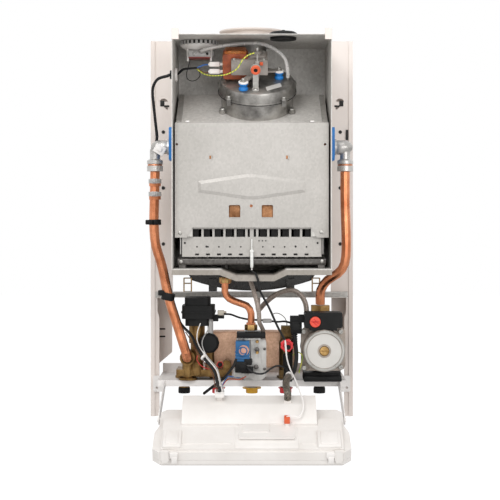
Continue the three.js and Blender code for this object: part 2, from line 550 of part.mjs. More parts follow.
// Insulated combustion casing: a sleeve round the exchanger and the burner.
function combustionCasing() {
  const { half, rear, low, sheet, flange } = CASING;
  const yFront = PANEL.y + GAP;
  const high = PANEL.top;
  const outer = rect(-half, half, yFront, rear);
  const inner = rect(-half + sheet, half - sheet, yFront + sheet, rear - sheet);
  const sleeve = plateZ(outer, low, high, [inner]);
  const top = plateZ(rect(-half - flange, half + flange, yFront, rear), high - sheet, high,
    [rect(-half + flange, half - flange, yFront + flange, rear - flange)]);
  const frontOpening = block(-PANEL_CUT.inner, PANEL_CUT.inner, yFront - 1, yFront + 3, low - 1,
    WINDOW.high + 6);
  const lowerOpening = block(-half - 1, half + 1, yFront - 1, yFront + 3, low - 1, PANEL.foot + 2);
  const pipeHole = rod(STUB.radius + 1.5, 2 * half + 20, vec(-half - 10, STUB.y, STUB.z), RIGHT, 12);
  return cut(join(sleeve, top), frontOpening, lowerOpening, pipeHole);
}

// Copper exchanger: a fin pack in a copper jacket, with its skirt, end headers and the two water stubs.
function heatExchanger() {
  const { half, front, rear, skirt, low, high, sheet } = EXCHANGER;
  const jacket = plateZ(rect(-half, half, front, rear), skirt, low,
    [rect(-half + sheet, half - sheet, front + sheet, rear - sheet)]);
  const pitch = (2 * half - 2 * sheet - FINS.sheet) / (FINS.count + 1);
  const gaps = Array.from({ length: FINS.count + 1 }, (_, i) => {
    const x = -half + sheet + FINS.sheet / 2 + i * pitch;
    return block(x + FINS.sheet / 2, x + pitch - FINS.sheet / 2, front + 3, rear - 3, low - 1, high + 1);
  });
  const pack = cut(block(-half, half, front, rear, low, high), ...gaps);
  const stubs = [-1, 1].map((side) =>
    rod(STUB.radius, STUB.end - half + 2, vec(side * (half - 2), STUB.y, STUB.z), vec(side, 0, 0), 10));
  const headers = [-1, 1].map((side) => {
    const [inner, outer] = [side * (half - 1), side * (half + 5.5)];
    return block(Math.min(inner, outer), Math.max(inner, outer), front + 8, rear - 8, low + 8, high - 8);
  });
  return join(jacket, pack, ...stubs, ...headers);
}

// Eleven flat burner bars on a common tray, each with a flame slot and a throat for its jet.
function burner() {
  const { bars, pitch, first, bar, front, rear } = BURNER;
  const { low, high, slot, throat } = BURNER_BAR;
  const blades = Array.from({ length: bars }, (_, i) => {
    const x = first + i * pitch;
    const body = block(x - bar, x + bar, front, rear, low, high);
    const flame = block(x - slot, x + slot, front + 5, rear - 5, high - 4, high + 1);
    const mouth = block(x - bar + 1.6, x + bar - 1.6, front - 1, front + 8, low + 3, low + 3 + throat);
    return cut(body, flame, mouth);
  });
  const ends = first - bar - 6;
  const rails = [mean(front, rear)].map((y) => block(ends, -ends, y, y + 8, low - 6, low + 1));
  return join(...blades, ...rails);
}

// Gas rail below the burner, with a jet for each bar.
function burnerRail() {
  const { half, low, high, front, rear, jet, jetLength } = MANIFOLD;
  const body = plateX(rounded(front, rear, low, high, 3, 2), -half, half);
  const jets = Array.from({ length: BURNER.bars }, (_, i) => rod(jet, jetLength + 2,
    vec(BURNER.first + i * BURNER.pitch, mean(front, rear), high - 2), UP, 6));
  const [feedX, feedY] = GAS_ROUTE[0];
  const level = mean(low, high);
  const feed = rod(GAS_PIPE_RADIUS, feedY - rear + 1, vec(feedX, feedY, level), FRONT, 8);
  const drop = rod(GAS_PIPE_RADIUS, level + 4 - GAS_NUT.seat - GAP, vec(feedX, feedY, GAS_NUT.seat + GAP),
    UP, 8);
  const screws = [-1, 1].map((side) => rod(4, 3, vec(side * (half - 7), front, level), FRONT, 6));
  const feet = [-1, 1].map((side) => {
    const [inner, outer] = [side * (half - 14), side * (half - 2)];
    return block(Math.min(inner, outer), Math.max(inner, outer), front + 2, rear - 2,
      CHAMBER.floor + CHAMBER.sheet + GAP, low + 1);
  });
  const posts = [-1, 1].map((side) => block(side * BURNER.first - 3, side * BURNER.first + 3, rear - 4, rear,
    high - 1, BURNER_BAR.low - GAP));
  return join(body, ...jets, ...screws, ...feet, ...posts, feed, drop);
}

// Perforated apron in front of the burner: a row of air slots, small holes and notches.
function burnerApron() {
  const { half, low, high, y, sheet, hole, pitch } = APRON;
  const holes = [];
  for (let n = -AIR_SLOT.count; n <= AIR_SLOT.count; n += 1) {
    holes.push(circle(n * pitch, low + 18, hole, 6));
    holes.push(rect(n * pitch - 3.6, n * pitch + 3.6, low + 2.6, low + 6));
    if (n !== 0) holes.push(rect(n * pitch - AIR_SLOT.half, n * pitch + AIR_SLOT.half, AIR_SLOT.low,
      AIR_SLOT.high));
  }
  for (const x of [-AIR_SLOT.narrowX, AIR_SLOT.narrowX]) {
    holes.push(rect(x - AIR_SLOT.narrowHalf, x + AIR_SLOT.narrowHalf, AIR_SLOT.low, AIR_SLOT.high));
  }
  const openings = holes.map((outline) => plateY(outline, y + 1, y - sheet - 1));
  const plate = cut(plateY(rect(-half, half, low, high), y, y - sheet), ...openings);
  const turnIn = block(-half, half, y - sheet, y + 2, low, low + sheet);
  return join(plate, turnIn);
}

function electrode() {
  const { x, low, high, radius, tip, tipTop } = ELECTRODE;
  return turned([[0, 0], [radius * 0.7, 0], [radius, 3], [radius, high - low - 6],
    [radius * 1.25, high - low - 6],
    [radius * 1.25, high - low - 2], [tip, high - low], [tip, tipTop - low], [0, tipTop - low]],
  vec(x, APRON.y - APRON.sheet - GAP - radius * 1.25, low), UP, 8);
}

// ---------------------------------------------------------------- fan

// The fan stands on the hood's slope. Its frame: x across, "along" up the slope, height off it.
const fanAxis = vec(0, -Math.sin(hoodSlope), Math.cos(hoodSlope));
const fanAlong = vec(0, Math.cos(hoodSlope), Math.sin(hoodSlope));
const fanMatrix = new THREE.Matrix4().makeBasis(RIGHT, fanAlong, fanAxis).setPosition(
  vec(FAN.x, hoodFoot.y, hoodFoot.z).addScaledVector(fanAlong, FAN.along).addScaledVector(fanAxis, GAP));

function fanPoint(x, along, height) {
  return vec(x, along, height).applyMatrix4(fanMatrix);
}

// Cast scroll housing: a base pan with feet, a lid with screw lugs, and the outlet with the flue spigot.
function fanHousing() {
  const { pan, radius, height, seam, wall, crown, inlet } = FAN;
  const rim = radius + 2.2;
  const outside = [[0, 0], [pan, 0], [pan + 1, seam - 3], [rim, seam - 2], [rim, seam + 2],
    [radius, seam + 3],
    [radius, height - crown], [radius - 2, height - 2], [radius - crown, height], [0, height]];
  const body = turned(outside, vec(0, 0, 0), UP, 22);
  const round = (angle, reach) => arc(0, 0, reach, angle, angle, 1)[0];
  const lugs = FAN_LUG.angles.map((angle) =>
    rod(FAN_LUG.radius, FAN_LUG.height, vec(...round(angle, rim), seam - FAN_LUG.height / 2), UP, 8));
  const feet = FAN_FOOT.angles.map((angle) => {
    const place = vec(...round(angle, pan + 4), 0);
    return join(rod(FAN_FOOT.radius, FAN_FOOT.thick, place, UP, 8),
      rod(FAN_FOOT.stud, FAN_FOOT.thick + 2.5, place, UP, 6));
  });
  const nipple = rod(NIPPLE.radius, NIPPLE.top - NIPPLE.foot, vec(NIPPLE.x, NIPPLE.along, NIPPLE.foot), UP,
    8);
  const outlet = (inset) => block(-FAN.x - OUTLET.half + inset, -FAN.x + OUTLET.half - inset, OUTLET.from,
    OUTLET.to - inset, OUTLET.low + inset, OUTLET.high - inset);
  const inside = [[0, wall], [pan - wall, wall], [pan - wall, height - wall - 3], [0, height - wall - 3]];
  const hollow = join(turned(inside, vec(0, 0, 0), UP, 12), outlet(wall));
  const inletHole = rod(inlet, wall + 2, vec(0, 0, -1), UP, 14);
  const shaftHole = rod(ROTOR.shaft + 1, 20, vec(0, 0, height - 12), UP, 10);
  const cast = moved(join(body, outlet(0), nipple, ...lugs, ...feet), fanMatrix);
  const spigotFoot = fanPoint(0, OUTLET.to, OUTLET.high).z - 34;
  const spigot = rod(FLUE.radius, CHAMBER.top - 2.5 - spigotFoot, vec(0, FLUE.y, spigotFoot), UP, 18);
  const bore = rod(FLUE.radius - FLUE.wall, CHAMBER.top + 8 - spigotFoot, vec(0, FLUE.y, spigotFoot + 6), UP,
    14);
  return cut(join(cast, spigot), bore, moved(join(hollow, inletHole, shaftHole), fanMatrix));
}

// Forward-curved impeller with its back plate, hub and shaft.
function fanRotor() {
  const { radius, hub, blades, height, blade, inner, floor, shaft } = ROTOR;
  const back = rod(radius, 2, vec(0, 0, floor + height - 2), UP, 16);
  const boss = turned([[0, 0], [hub * 0.5, 0], [hub, 8], [hub, 12], [0, 12]], vec(0, 0, floor + height - 12),
    UP, 12);
  const rim = pipeRing(radius, radius - 4, 2, vec(0, 0, floor), UP, 16);
  const vane = (angle) => {
    const steps = 1;
    const at = (t, side) => {
      const r = inner + (radius - 0.6 - inner) * t;
      const turn = angle + 22 * t * t;
      const [x, y] = arc(0, 0, r, turn, turn, 1)[0];
      const across = THREE.MathUtils.degToRad(turn + 90);
      return [x + side * blade / 2 * Math.cos(across), y + side * blade / 2 * Math.sin(across)];
    };
    const one = Array.from({ length: steps + 1 }, (_, i) => at(i / steps, 1));
    const other = Array.from({ length: steps + 1 }, (_, i) => at(1 - i / steps, -1));
    return plateZ([...one, ...other], floor + 0.5, floor + height - 1);
  };
  const vanes = Array.from({ length: blades }, (_, i) => vane(i * 360 / blades));
  const end = MOTOR.base + MOTOR.height + MOTOR.bridge + 4;
  const axle = rod(shaft, end - floor - height, vec(0, 0, floor + height - 1), UP, 10);
  return moved(join(back, boss, rim, axle, ...vanes), fanMatrix);
}

// Shaded-pole motor: a C-shaped lamination stack with the rotor's bore, its bearing bridges and three legs.
function motorFrame() {
  const { base, left, right, depth, height, bore, limb, front, bridge } = MOTOR;
  const half = depth / 2;
  const stack = cut(block(left, right, -half, half, base, base + height),
    block(left + limb, -bore - 3, -half + front, half - front, base - 1, base + height + 1),
    rod(bore, height + 2, vec(0, 0, base - 1), UP, 14));
  const drum = rod(bore + 0.5, height - 4, vec(0, 0, base + 2), UP, 14);
  const cage = plateZ(rounded(-bore - 2, bore + 2, -10, 10, 5, 2), base + height - 0.5,
    base + height + bridge);
  const bearing = turned([[0, 0], [9, 0], [9, 6], [6, 9], [0, 9]], vec(0, 0, base + height + 1), UP, 10);
  const hub = plateZ(circle(0, 0, bore + 1, 12), base - bridge, base + 0.5);
  const legs = Object.values(MOTOR_FEET).map(([x, along]) => {
    const way = vec(x, along, 0).normalize();
    const side = (reach, across) => [way.x * reach - way.y * across, way.y * reach + way.x * across];
    const reach = Math.hypot(x, along);
    return plateZ([side(4, -6), side(reach - 4, -6), side(reach + 6, -4), side(reach + 6, 4),
      side(reach - 4, 6),
      side(4, 6)], base - bridge, base - 0.4);
  });
  const [rearX, rearAlong] = MOTOR_FEET.rear;
  const post = rod(ISOLATOR.waist, base - bridge - FAN.height - GAP + 1,
    vec(rearX, rearAlong, FAN.height + GAP), UP, 8);
  const shaftHole = rod(ROTOR.shaft + 0.8, 70, vec(0, 0, base - 20), UP, 10);
  return moved(cut(join(stack, drum, cage, bearing, hub, post, ...legs), shaftHole), fanMatrix);
}

// Moulded bobbin with its copper winding, round the stack's left limb.
function motorCoil() {
  const { left, low, high, half, cheek, lip } = COIL;
  const right = -MOTOR.bore - 3 - GAP;
  const { base, height, limb } = MOTOR;
  const core = rect(MOTOR.left - GAP, MOTOR.left + limb + GAP, base - GAP, base + height + GAP);
  const ring = (inset, back, front) => plateY(rounded(left + inset, right - inset / 2, low + inset,
    high - inset, 4, 2),
    back, front, [core]);
  const winding = ring(lip, half - cheek + 0.5, cheek - half - 0.5);
  return moved(join(ring(0, half, half - cheek), ring(0, cheek - half, -half), winding), fanMatrix);
}

// Rubber spool under a motor leg.
function isolator([x, along]) {
  const { radius, waist } = ISOLATOR;
  const foot = FAN.height + GAP;
  const rise = MOTOR.base - MOTOR.bridge - GAP - foot;
  const profile = [[0, 0], [radius, 0], [radius, rise * 0.25], [waist, rise * 0.4], [waist, rise * 0.6],
    [radius, rise * 0.75], [radius, rise], [0, rise]];
  return moved(turned(profile, vec(x, along, foot), UP, 12), fanMatrix);
}

// Bright bracket with its test-point grommet, screwed to the lid in front of the motor.
function portBracket() {
  const { x, along, width, height, sheet, ring, bore, foot: depth } = PORT;
  const half = width / 2;
  const foot = FAN.height + GAP;
  const eyeZ = foot + height - ring;
  const base = plateZ(rounded(x - half - 1, x + half + 1, along - depth, along + sheet, 3, 2), foot,
    foot + sheet);
  const stand = plateY(rect(x - half, x + half, foot, eyeZ), along + sheet, along);
  const eye = pipeRing(ring, bore, 6, vec(x, along + 3, eyeZ), FRONT, 12);
  const window = rod(bore, 12, vec(x, along + 6, eyeZ), FRONT, 12);
  return moved(join(base, cut(stand, window), eye), fanMatrix);
}

// ---------------------------------------------------------------- air switch, seals, elbows

// Diaphragm switch: a wide dished capsule with a terminal body hanging under it.
function pressureSwitch() {
  const { x, y, z, radius, rim, dish, body, bodyHeight } = SWITCH;
  const capsule = turned([[0, -dish], [radius * 0.65, -dish], [radius - 3, -3], [radius, -2],
    [radius, rim - 2],
    [radius - 3, rim], [radius * 0.5, rim + 2], [0, rim + 2]], vec(x, y, z), UP, 20);
  const terminal = block(x - body, x + body, y - body, y + body, z - dish - bodyHeight, z - dish + 1);
  const port = rod(3, 17, vec(x + 4, y - 12, z - dish - 5), FRONT, 8);
  const arms = [-1, 1].map((side) => {
    const centre = x + side * (body + 5);
    return block(centre - 1.5, centre + 1.5, y - 4, y + 5, z - dish - 14, z - dish + 0.6);
  });
  const wall = CHAMBER.rear - CHAMBER.sheet - GAP;
  const shelf = block(x - body - 5, x + body + 5, y + 2, wall, z - dish - 6, z - dish - 3);
  const foot = block(x - body - 9, x + body + 9, wall - 2, wall, z - dish - 22, z - dish - 2);
  return join(capsule, terminal, port, ...arms, shelf, foot);
}

// Silicone tube from the fan's test nipple to the switch.
function pressureTube() {
  const ends = [NIPPLE.top + 9, NIPPLE.top + GAP].map((rise) =>
    fanPoint(NIPPLE.x, NIPPLE.along, rise).toArray());
  return tube([...SWITCH_TUBE, ...ends], TUBE_RADIUS, 8, 12);
}

function sideSeal(side) {
  const low = CHAMBER.half + GAP;
  const [from, to] = side > 0 ? [low, SEAL.outer] : [-SEAL.outer, -low];
  const middle = STUB.z + SEAL.rise;
  const outline = rounded(STUB.y - SEAL.halfY, STUB.y + SEAL.halfY, middle - SEAL.halfZ, middle + SEAL.halfZ,
    8, 3);
  return plateX(outline, from, to, [circle(STUB.y, STUB.z, STUB.radius + GAP, 14)]);
}

// Cast elbow on the exchanger's stub: a flange, a rounded body, a neck, and the union with its washer groove.
function elbow(x) {
  const { inner, flange, neck, nut, foot, top } = ELBOW;
  const side = Math.sign(x);
  const way = vec(side, 0, 0);
  const bulb = turned(ELBOW_BULB, vec(side * inner, STUB.y, STUB.z), way, 14);
  const plate = rod(flange, 4, vec(side * inner, STUB.y, STUB.z), way, 12);
  const fall = turned([[0, 0], [nut, 0], [nut, 10], [nut - 2, 11], [nut - 2, 13], [nut, 14],
    [nut, top - foot],
    [neck, top - foot + 3], [neck, STUB.z - foot - 4], [0, STUB.z - foot - 4]], vec(x, STUB.y, foot), UP, 12);
  const socket = rod(STUB.radius + GAP, STUB.end - inner + 1 + GAP, vec(side * (inner - 1), STUB.y, STUB.z),
    way, 10);
  const lower = rod(PIPE_RADIUS + GAP, 6, vec(x, STUB.y, foot - 2), UP, 10);
  return cut(join(bulb, plate, fall), socket, lower);
}

// ---------------------------------------------------------------- pipes

function flowPipe() {
  const pipe = tube(FLOW_ROUTE, PIPE_RADIUS, 10, 14);
  const [x, y] = FLOW_ROUTE[0];
  const clips = SENSOR_CLIPS.map((z) => rod(PIPE_RADIUS + 2.2, 7, vec(x, y, z), UP, 10));
  return join(pipe, ...clips);
}

function returnPipe() {
  return tube(RETURN_ROUTE, PIPE_RADIUS, 10, 13);
}

function gasPipe() {
  const pipe = tube(GAS_ROUTE, GAS_PIPE_RADIUS, 10, 9);
  const last = GAS_ROUTE[GAS_ROUTE.length - 1];
  const upper = rod(GAS_NUT.radius, GAS_NUT.height, vec(GAS_ROUTE[0][0], GAS_ROUTE[0][1],
    GAS_NUT.seat - GAS_NUT.height), UP, 6);
  const lower = rod(GAS_NUT.radius, GAS_NUT.height + 2, vec(last[0], last[1], last[2] - GAS_NUT.height - 1),
    UP, 6);
  return join(pipe, upper, lower);
}

function pumpNut() {
  const { radius, low, high } = PUMP_NUT;
  const last = RETURN_ROUTE[RETURN_ROUTE.length - 1];
  const nut = rod(radius, high - low, vec(last[0], last[1], low), UP, 6);
  const bore = rod(PIPE_RADIUS + GAP, 10, vec(last[0], last[1], last[2] - GAP), UP, 10);
  return cut(nut, bore);
}

// ---------------------------------------------------------------- vessel and plate exchanger

function vesselOutline(inset) {
  const { half, low, high, corner, bulge } = VESSEL;
  const a = half - inset;
  const top = high - inset;
  const foot = low + inset;
  const r = corner - inset;
  const sag = (x) => foot + bulge * (x / a) ** 2;
  const steps = 12;
  const across = Array.from({ length: steps + 1 }, (_, i) => -a + r * 0.5 + i * (2 * a - r) / steps);
  const bottom = across.map((x) => [x, sag(x)]);
  return [...bottom, [a - r * 0.14, sag(a) + r * 0.34], [a, sag(a) + r], ...arc(a - r, top - r, r, 0, 90, 4),
    ...arc(-a + r, top - r, r, 90, 180, 4), [-a, sag(a) + r], [-a + r * 0.14, sag(a) + r * 0.34]];
}

// Flat expansion vessel behind the chamber: two pressed halves on a crimped rim.
function expansionVessel() {
  const { back, front, rim, low } = VESSEL;
  const middle = mean(back, front);
  const seam = plateY(vesselOutline(0), middle + rim / 2, middle - rim / 2);
  const body = plateY(vesselOutline(4), back - 8, front + 8);
  const faces = plateY(vesselOutline(16), back, front);
  const feet = [VESSEL_FEET.left, VESSEL_FEET.right].map((x) =>
    block(x - VESSEL_FEET.half, x + VESSEL_FEET.half, front, middle + 6, CROSS_RAIL.high + GAP,
      VESSEL_FEET.high));
  const valve = rod(7, 16, vec(12, middle, low - 12), UP, 8);
  return join(seam, body, faces, valve, ...feet);
}

// Brazed plate exchanger: the plates' stepped rims show as ribs round its edge.
function plateExchanger() {
  const { left, right, low, high, back, front, count, corner } = PLATES;
  const pitch = (back - front) / count;
  const stack = Array.from({ length: count }, (_, i) => {
    const y = back - i * pitch;
    return join(plateY(rounded(left, right, low, high, corner, 2), y, y - pitch * 0.55),
      plateY(rounded(left + 2, right - 2, low + 2, high - 2, corner - 2, 2), y - pitch * 0.5, y - pitch));
  });
  return join(...stack);
}

// ---------------------------------------------------------------- hydraulic group

// Threaded connection tail with its seating flange on the tray.
function tail(n, top) {
  const { pitch, radius, flange, flangeHeight, foot, y } = TAIL;
  const seat = TRAY.top + GAP;
  const x = n * pitch;
  return join(rod(radius, top - foot, vec(x, y, foot), UP, 12),
    rod(flange, flangeHeight, vec(x, y, seat), UP, 12));
}

// Brass flow block: two tails, the pipe's ring in front and the diverter's stem on top.
function hydraulicBlock() {
  const { left, right, back, front, low, high } = BLOCK;
  const seat = TRAY.top + GAP;
  const y = TAIL.y;
  const feet = [-2, -1].map((n) => tail(n, seat + 12));
  const web = block(left, right, front, back + 4, seat + low, seat + high);
  const bridge = block(-2 * TAIL.pitch - 12, -TAIL.pitch + 12, back, y + 12, seat + 3, PLATES.low - GAP);
  const column = rod(STEM.radius - 3, STEM.top - 14 - seat, vec(STEM.x, STEM.y, seat + 10), UP, 12);
  const collar = rod(STEM.radius, 34, vec(STEM.x, STEM.y, STEM.top - 34), UP, 12);
  const ring = pipeRing(FLOW_RING.radius, FLOW_RING.radius - FLOW_RING.wall, 6,
    vec(FLOW_RING.x, FLOW_RING.front + 6, FLOW_RING.z), FRONT, 14);
  const boss = rod(FLOW_RING.radius - 1, -FLOW_RING.front - 6 + back, vec(FLOW_RING.x, back, FLOW_RING.z),
    FRONT, 12);
  const middle = mean(front, back);
  const neck = turned([[0, 0], [FLOW_RING.flange, 0], [FLOW_RING.flange, 4], [FLOW_RING.neck, 6],
    [FLOW_RING.neck, FLOW_RING.z - seat], [0, FLOW_RING.z - seat]], vec(FLOW_RING.x, middle - 5, seat), UP,
    12);
  const capBoss = rod(CAP.shell, back - CAP.seat - GAP, vec(CAP.x, back, CAP.z), FRONT, 12);
  const capNeck = rod(9, CAP.z - seat - 18, vec(CAP.x, middle, seat + 18), UP, 10);
  const link = block(STEM.x, CAP.x, middle - 7, middle + 7, CAP.z - 12, CAP.z + 4);
  const sensor = rod(DRAIN.radius, front + 4 - DRAIN.front, vec(DRAIN.x, front + 4, DRAIN.z), FRONT, 10);
  const sensorLeg = block(DRAIN.x - 7, DRAIN.x + 8, front, front + 10, seat + 18, DRAIN.z);
  const pipeSocket = rod(PIPE_RADIUS + 1.2, 9, vec(FLOW_RING.x - 1, FLOW_RING.front + 5, FLOW_RING.z), FRONT,
    10);
  const body = join(web, bridge, column, collar, boss, ring, neck, capBoss, capNeck, link, sensor, sensorLeg,
    ...feet);
  return cut(body, pipeSocket);
}

// Diverter actuator: a stepped black motor head clipped on the stem.
function diverterMotor() {
  const { left, right, low, high, front, back } = DIVERTER;
  const lower = plateZ(rounded(left + 6, right - 10, front + 6, back - 4, 8, 3), low, low + 14);
  const middle = plateZ(rounded(left, right, front, back, 8, 3), low + 13.5, low + 38);
  const upper = plateZ(rounded(left + 5, right - 8, front + 4, back - 4, 8, 3), low + 37.5, high);
  const band = plateZ(rounded(left - 1.5, right + 1.5, front - 1.5, back + 1.5, 8, 2), low + 24, low + 27);
  const socket = block(right - 12, right + 7, front + 16, front + 30, low + 8, low + 20);
  const spout = block(right + 6, right + 18, front + 18, front + 28, low + 13, low + 19);
  return join(lower, middle, upper, band, socket, spout);
}

// Faceted cap of the flow turbine in front of the block.
function flowCap() {
  const { x, z, radius, seat, front, sides } = CAP;
  const length = seat - front;
  const profile = [[0, 0], [radius - 3, 0], [radius, 2], [radius, length - 3], [radius - 4, length],
    [0, length]];
  return turned(profile, vec(x, seat, z), FRONT, sides);
}

// Gas valve: a cast body on its tail, with the bright face plate and its screws.
function gasValve() {
  const { left, right, low, high, front, back } = GAS_VALVE;
  const body = plateY(rounded(left, right, low, high - 12, 5, 2), back, front + 8);
  const head = block(-14, 16, front + 2, back, high - 13, high);
  const leg = rod(TAIL.radius, low + 8 - TRAY.top - 4, vec(0, TAIL.y, TRAY.top + 4), UP, 12);
  const shoe = block(-15, 20, front + 14, back, TRAY.top + GAP + 4, low + 1);
  const duct = block(-12, 12, back - 1, TAIL.y + 8, low + 1, low + 10);
  const { left: x0, right: x1, low: z0, high: z1, foot, thick } = VALVE_FACE;
  const centre = mean(x0, x1) + 2;
  const face = plateY([[x0, z0], ...arc(centre, z0 - 8, foot, 215, 325, 6), [x1 + 2, z0], [x1, z0 + 8],
    [x1, z1],
    [x0, z1]], front + 8.5, front + 8 - thick);
  const screws = [z1 - 12, z0 - 10].map((z) => rod(4, 3, vec(centre - 1, front + 8 - thick + 0.5, z), FRONT,
    8));
  const plug = block(left - 4, left + 16, front - 4, front + 9, low + 3, low + 20);
  return join(body, head, leg, tail(0, low), shoe, duct, face, plug, ...screws);
}

// Modulation coil with its round adjuster, on the valve's upper left.
function gasModulator() {
  const { left, right, low, high, front, knob } = COIL_BOX;
  const back = GAS_VALVE.front + 8 - GAP;
  const frame = plateX(bentSheet([[back, low], [front, low], [front, high], [back, high]], 2), left, right);
  const core = block(left + 3, right - 3, front + 1, back, low + 5, high - 3);
  const cup = turned([[0, 0], [knob, 0], [knob, 4], [knob - 2, 5], [knob - 3, 3.6], [0, 3.6]],
    vec(mean(left, right), front + 0.5, low + 19), FRONT, 14);
  return join(frame, core, cup);
}

// Cold inlet column with the safety valve's body reaching forward.
function reliefValve() {
  const { x, y, radius, top, arm, armFront } = COLD;
  const seat = TRAY.top + GAP;
  const column = rod(radius, top - seat - 4, vec(x, y, seat + 4), UP, 12);
  const base = block(x - 13, x + 13, y - 14, TAIL.y + 12, seat + 3, seat + 19);
  const reach = rod(arm, y - armFront, vec(x, y, RELIEF.z), FRONT, 12);
  const shoulder = turned([[0, 0], [arm + 3, 0], [arm + 3, 8], [arm, 11], [0, 11]], vec(x, y - 26, RELIEF.z),
    FRONT, 12);
  const port = block(x - RELIEF_PORT.half, x + RELIEF_PORT.half, y - 34, y - 16, RELIEF.z, RELIEF_PORT.high);
  const spout = rod(4.5, 10, vec(x, y - 30, mean(RELIEF_PORT.low, RELIEF_PORT.high)), FRONT, 8);
  const bonnet = rod(radius - 2, 26, vec(x, y, top - 2), UP, 10);
  return join(column, base, reach, shoulder, port, spout, tail(1, seat + 8), bonnet);
}

function reliefKnob() {
  const { z, radius, length, ribs, seat } = RELIEF;
  const outline = Array.from({ length: ribs * 2 }, (_, i) =>
    arc(COLD.x, z, i % 2 ? radius : radius - 1.6, i * 180 / ribs, i * 180 / ribs, 1)[0]);
  const rim = plateY(outline, seat, seat - length, [circle(COLD.x, z, radius - 5, 16)]);
  const hub = rod(radius - 4, length - 5, vec(COLD.x, seat, z), FRONT, 12);
  return join(rim, hub);
}

// ---------------------------------------------------------------- pump

function pumpBody() {
  const { x, z, flangeY, backY } = PUMP;
  const last = RETURN_ROUTE[RETURN_ROUTE.length - 1];
  const front = flangeY + 8;
  const volute = turned([[0, 0], [VOLUTE.radius - 8, 0], [VOLUTE.radius, 10],
    [VOLUTE.radius, backY - front - 2],
    [VOLUTE.radius - 3, backY - front], [0, backY - front]], vec(x, backY, z), FRONT, 20);
  const port = rod(VOLUTE.port, VOLUTE.portTop - z, vec(last[0], last[1], z), UP, 12);
  const leg = rod(TAIL.radius + 4, z - TRAY.top - 4, vec(2 * TAIL.pitch, TAIL.y, TRAY.top + 4), UP, 12);
  const spigot = rod(VESSEL_HOSE_RADIUS + 1.4, 28, vec(104, -125, 150), UP, 10);
  const foot = plateZ(rounded(x - 36, x + 34, front, backY + 6, 6, 2), TRAY.top + GAP + 2, TRAY.top + 18);
  return join(volute, port, leg, foot, spigot, tail(2, TRAY.top + 10));
}

// Pump motor: a can with a bare round label face, on a square flange with four screws.
function pumpMotor() {
  const { x, z, can, front, flangeY, flange } = PUMP;
  const back = flangeY + 8 - GAP;
  const length = back - front;
  const body = turned([[0, 0], [can, 0], [can, length - 4], [can - PUMP_LABEL.rim, length],
    [PUMP_LABEL.radius, length], [PUMP_LABEL.radius, length - PUMP_LABEL.lip],
    [VENT_SCREW.boss, length - PUMP_LABEL.lip], [VENT_SCREW.boss, length], [VENT_SCREW.radius + 0.6, length],
    [VENT_SCREW.radius + 0.6, length - 6], [0, length - 6]], vec(x, back, z), FRONT, 18);
  const corners = [[1, 1], [-1, 1], [-1, -1], [1, -1]];
  const { halfX, halfZ, lug, screw } = PUMP_SCREWS;
  const plate = plateY(rounded(x - halfX - lug, x + halfX + lug, z - halfZ - lug, z + halfZ + lug, 12, 4),
    back, back - flange);
  const atCorners = (radius, rise, sides) => corners.map(([i, k]) =>
    rod(radius, rise, vec(x + i * halfX, back, z + k * halfZ), FRONT, sides));
  const screws = atCorners(screw, flange + 6, 6);
  const bosses = atCorners(lug - 1.5, flange + 3, 8);
  return join(body, plate, ...bosses, ...screws);
}

function pumpTerminalBox() {
  const { left, right, low, high, front, back } = TERMINALS;
  const body = plateY(rounded(left, right, low, high, 3, 2), back, front);
  const drum = rod(PUMP.can + GAP, back - front + 4, vec(PUMP.x, back + 2, PUMP.z), FRONT, 24);
  const dip = block(left + 10, right - 10, front, back - 10, low - 5, low + 1);
  const gland = block(left - 10, left + 1, back - 22, back - 4, high - 20, high - 6);
  const plug = block(left - 26, left - 9.5, back - 20, back - 6, high - 30, high - 8);
  const hole = rod(SPEED_KNOB.radius + 0.6, 4, vec(SPEED_KNOB.x, front + 2, SPEED_KNOB.z), FRONT, 14);
  return cut(join(body, dip, gland, plug), drum, hole);
}

// A round slotted head, for the speed selector and the vent screw.
function slottedHead(x, z, seat, radius, length, slot, sides = 20) {
  const head = turned([[0, 0], [radius, 0], [radius, length - 1], [radius - 1, length], [0, length]],
    vec(x, seat, z), FRONT, sides);
  const groove = block(x - radius - 1, x + radius + 1, seat - length - 1, seat - length + 2, z - slot / 2,
    z + slot / 2);
  return cut(head, groove);
}

// ---------------------------------------------------------------- control box

// The box is drawn closed, with x across, y backwards and z up from its pivot.
function boxOutline(inset) {
  const low = BOX.low + inset;
  const high = BOX.high - inset;
  const near = BOX.half - inset;
  const far = BOX.farHalf - inset;
  return [[-near + 10, low], [near - 10, low], [near, low + 10], [near, 40], [far, 62], [far, high - 12],
    [far - 12, high], [-far + 12, high], [-far, high - 12], [-far, 62], [-near, 40], [-near, low + 10]];
}

// Outside of the rear shell, or with an inset the hollow inside it.
function boxForm(inset) {
  const front = BOX.seam - (inset > 0 ? 1 : 0);
  const { near, mid, rim, hump, humpLeft, humpRight } = BOX_BACK;
  const base = plateY(boxOutline(inset), near - inset, front);
  const upper = plateX([[front, BOX_STEP.shoulder + inset], [near - inset, BOX_STEP.shoulder + inset],
    [mid - inset, BOX_STEP.shoulder + 12], [mid - inset, BOX_STEP.flat], [rim - inset, BOX_STEP.rim - inset],
    [front, BOX_STEP.rim - inset]], -BOX.half + 8 + inset, BOX.half - 6 - inset);
  const deep = plateX([[front, BOX.low + 2 + inset], [hump - 8 - inset, BOX.low + 2 + inset],
    [hump - inset, BOX.low + 12], [hump - inset, BOX_STEP.shoulder + 4],
    [mid + 4 - inset, BOX_STEP.hump - inset],
    [front, BOX_STEP.hump - inset]], humpLeft + inset, humpRight - inset);
  return join(base, upper, deep);
}

const boxMatrix = new THREE.Matrix4().makeRotationX(THREE.MathUtils.degToRad(BOX.open));
boxMatrix.setPosition(0, PIVOT.y, PIVOT.z);

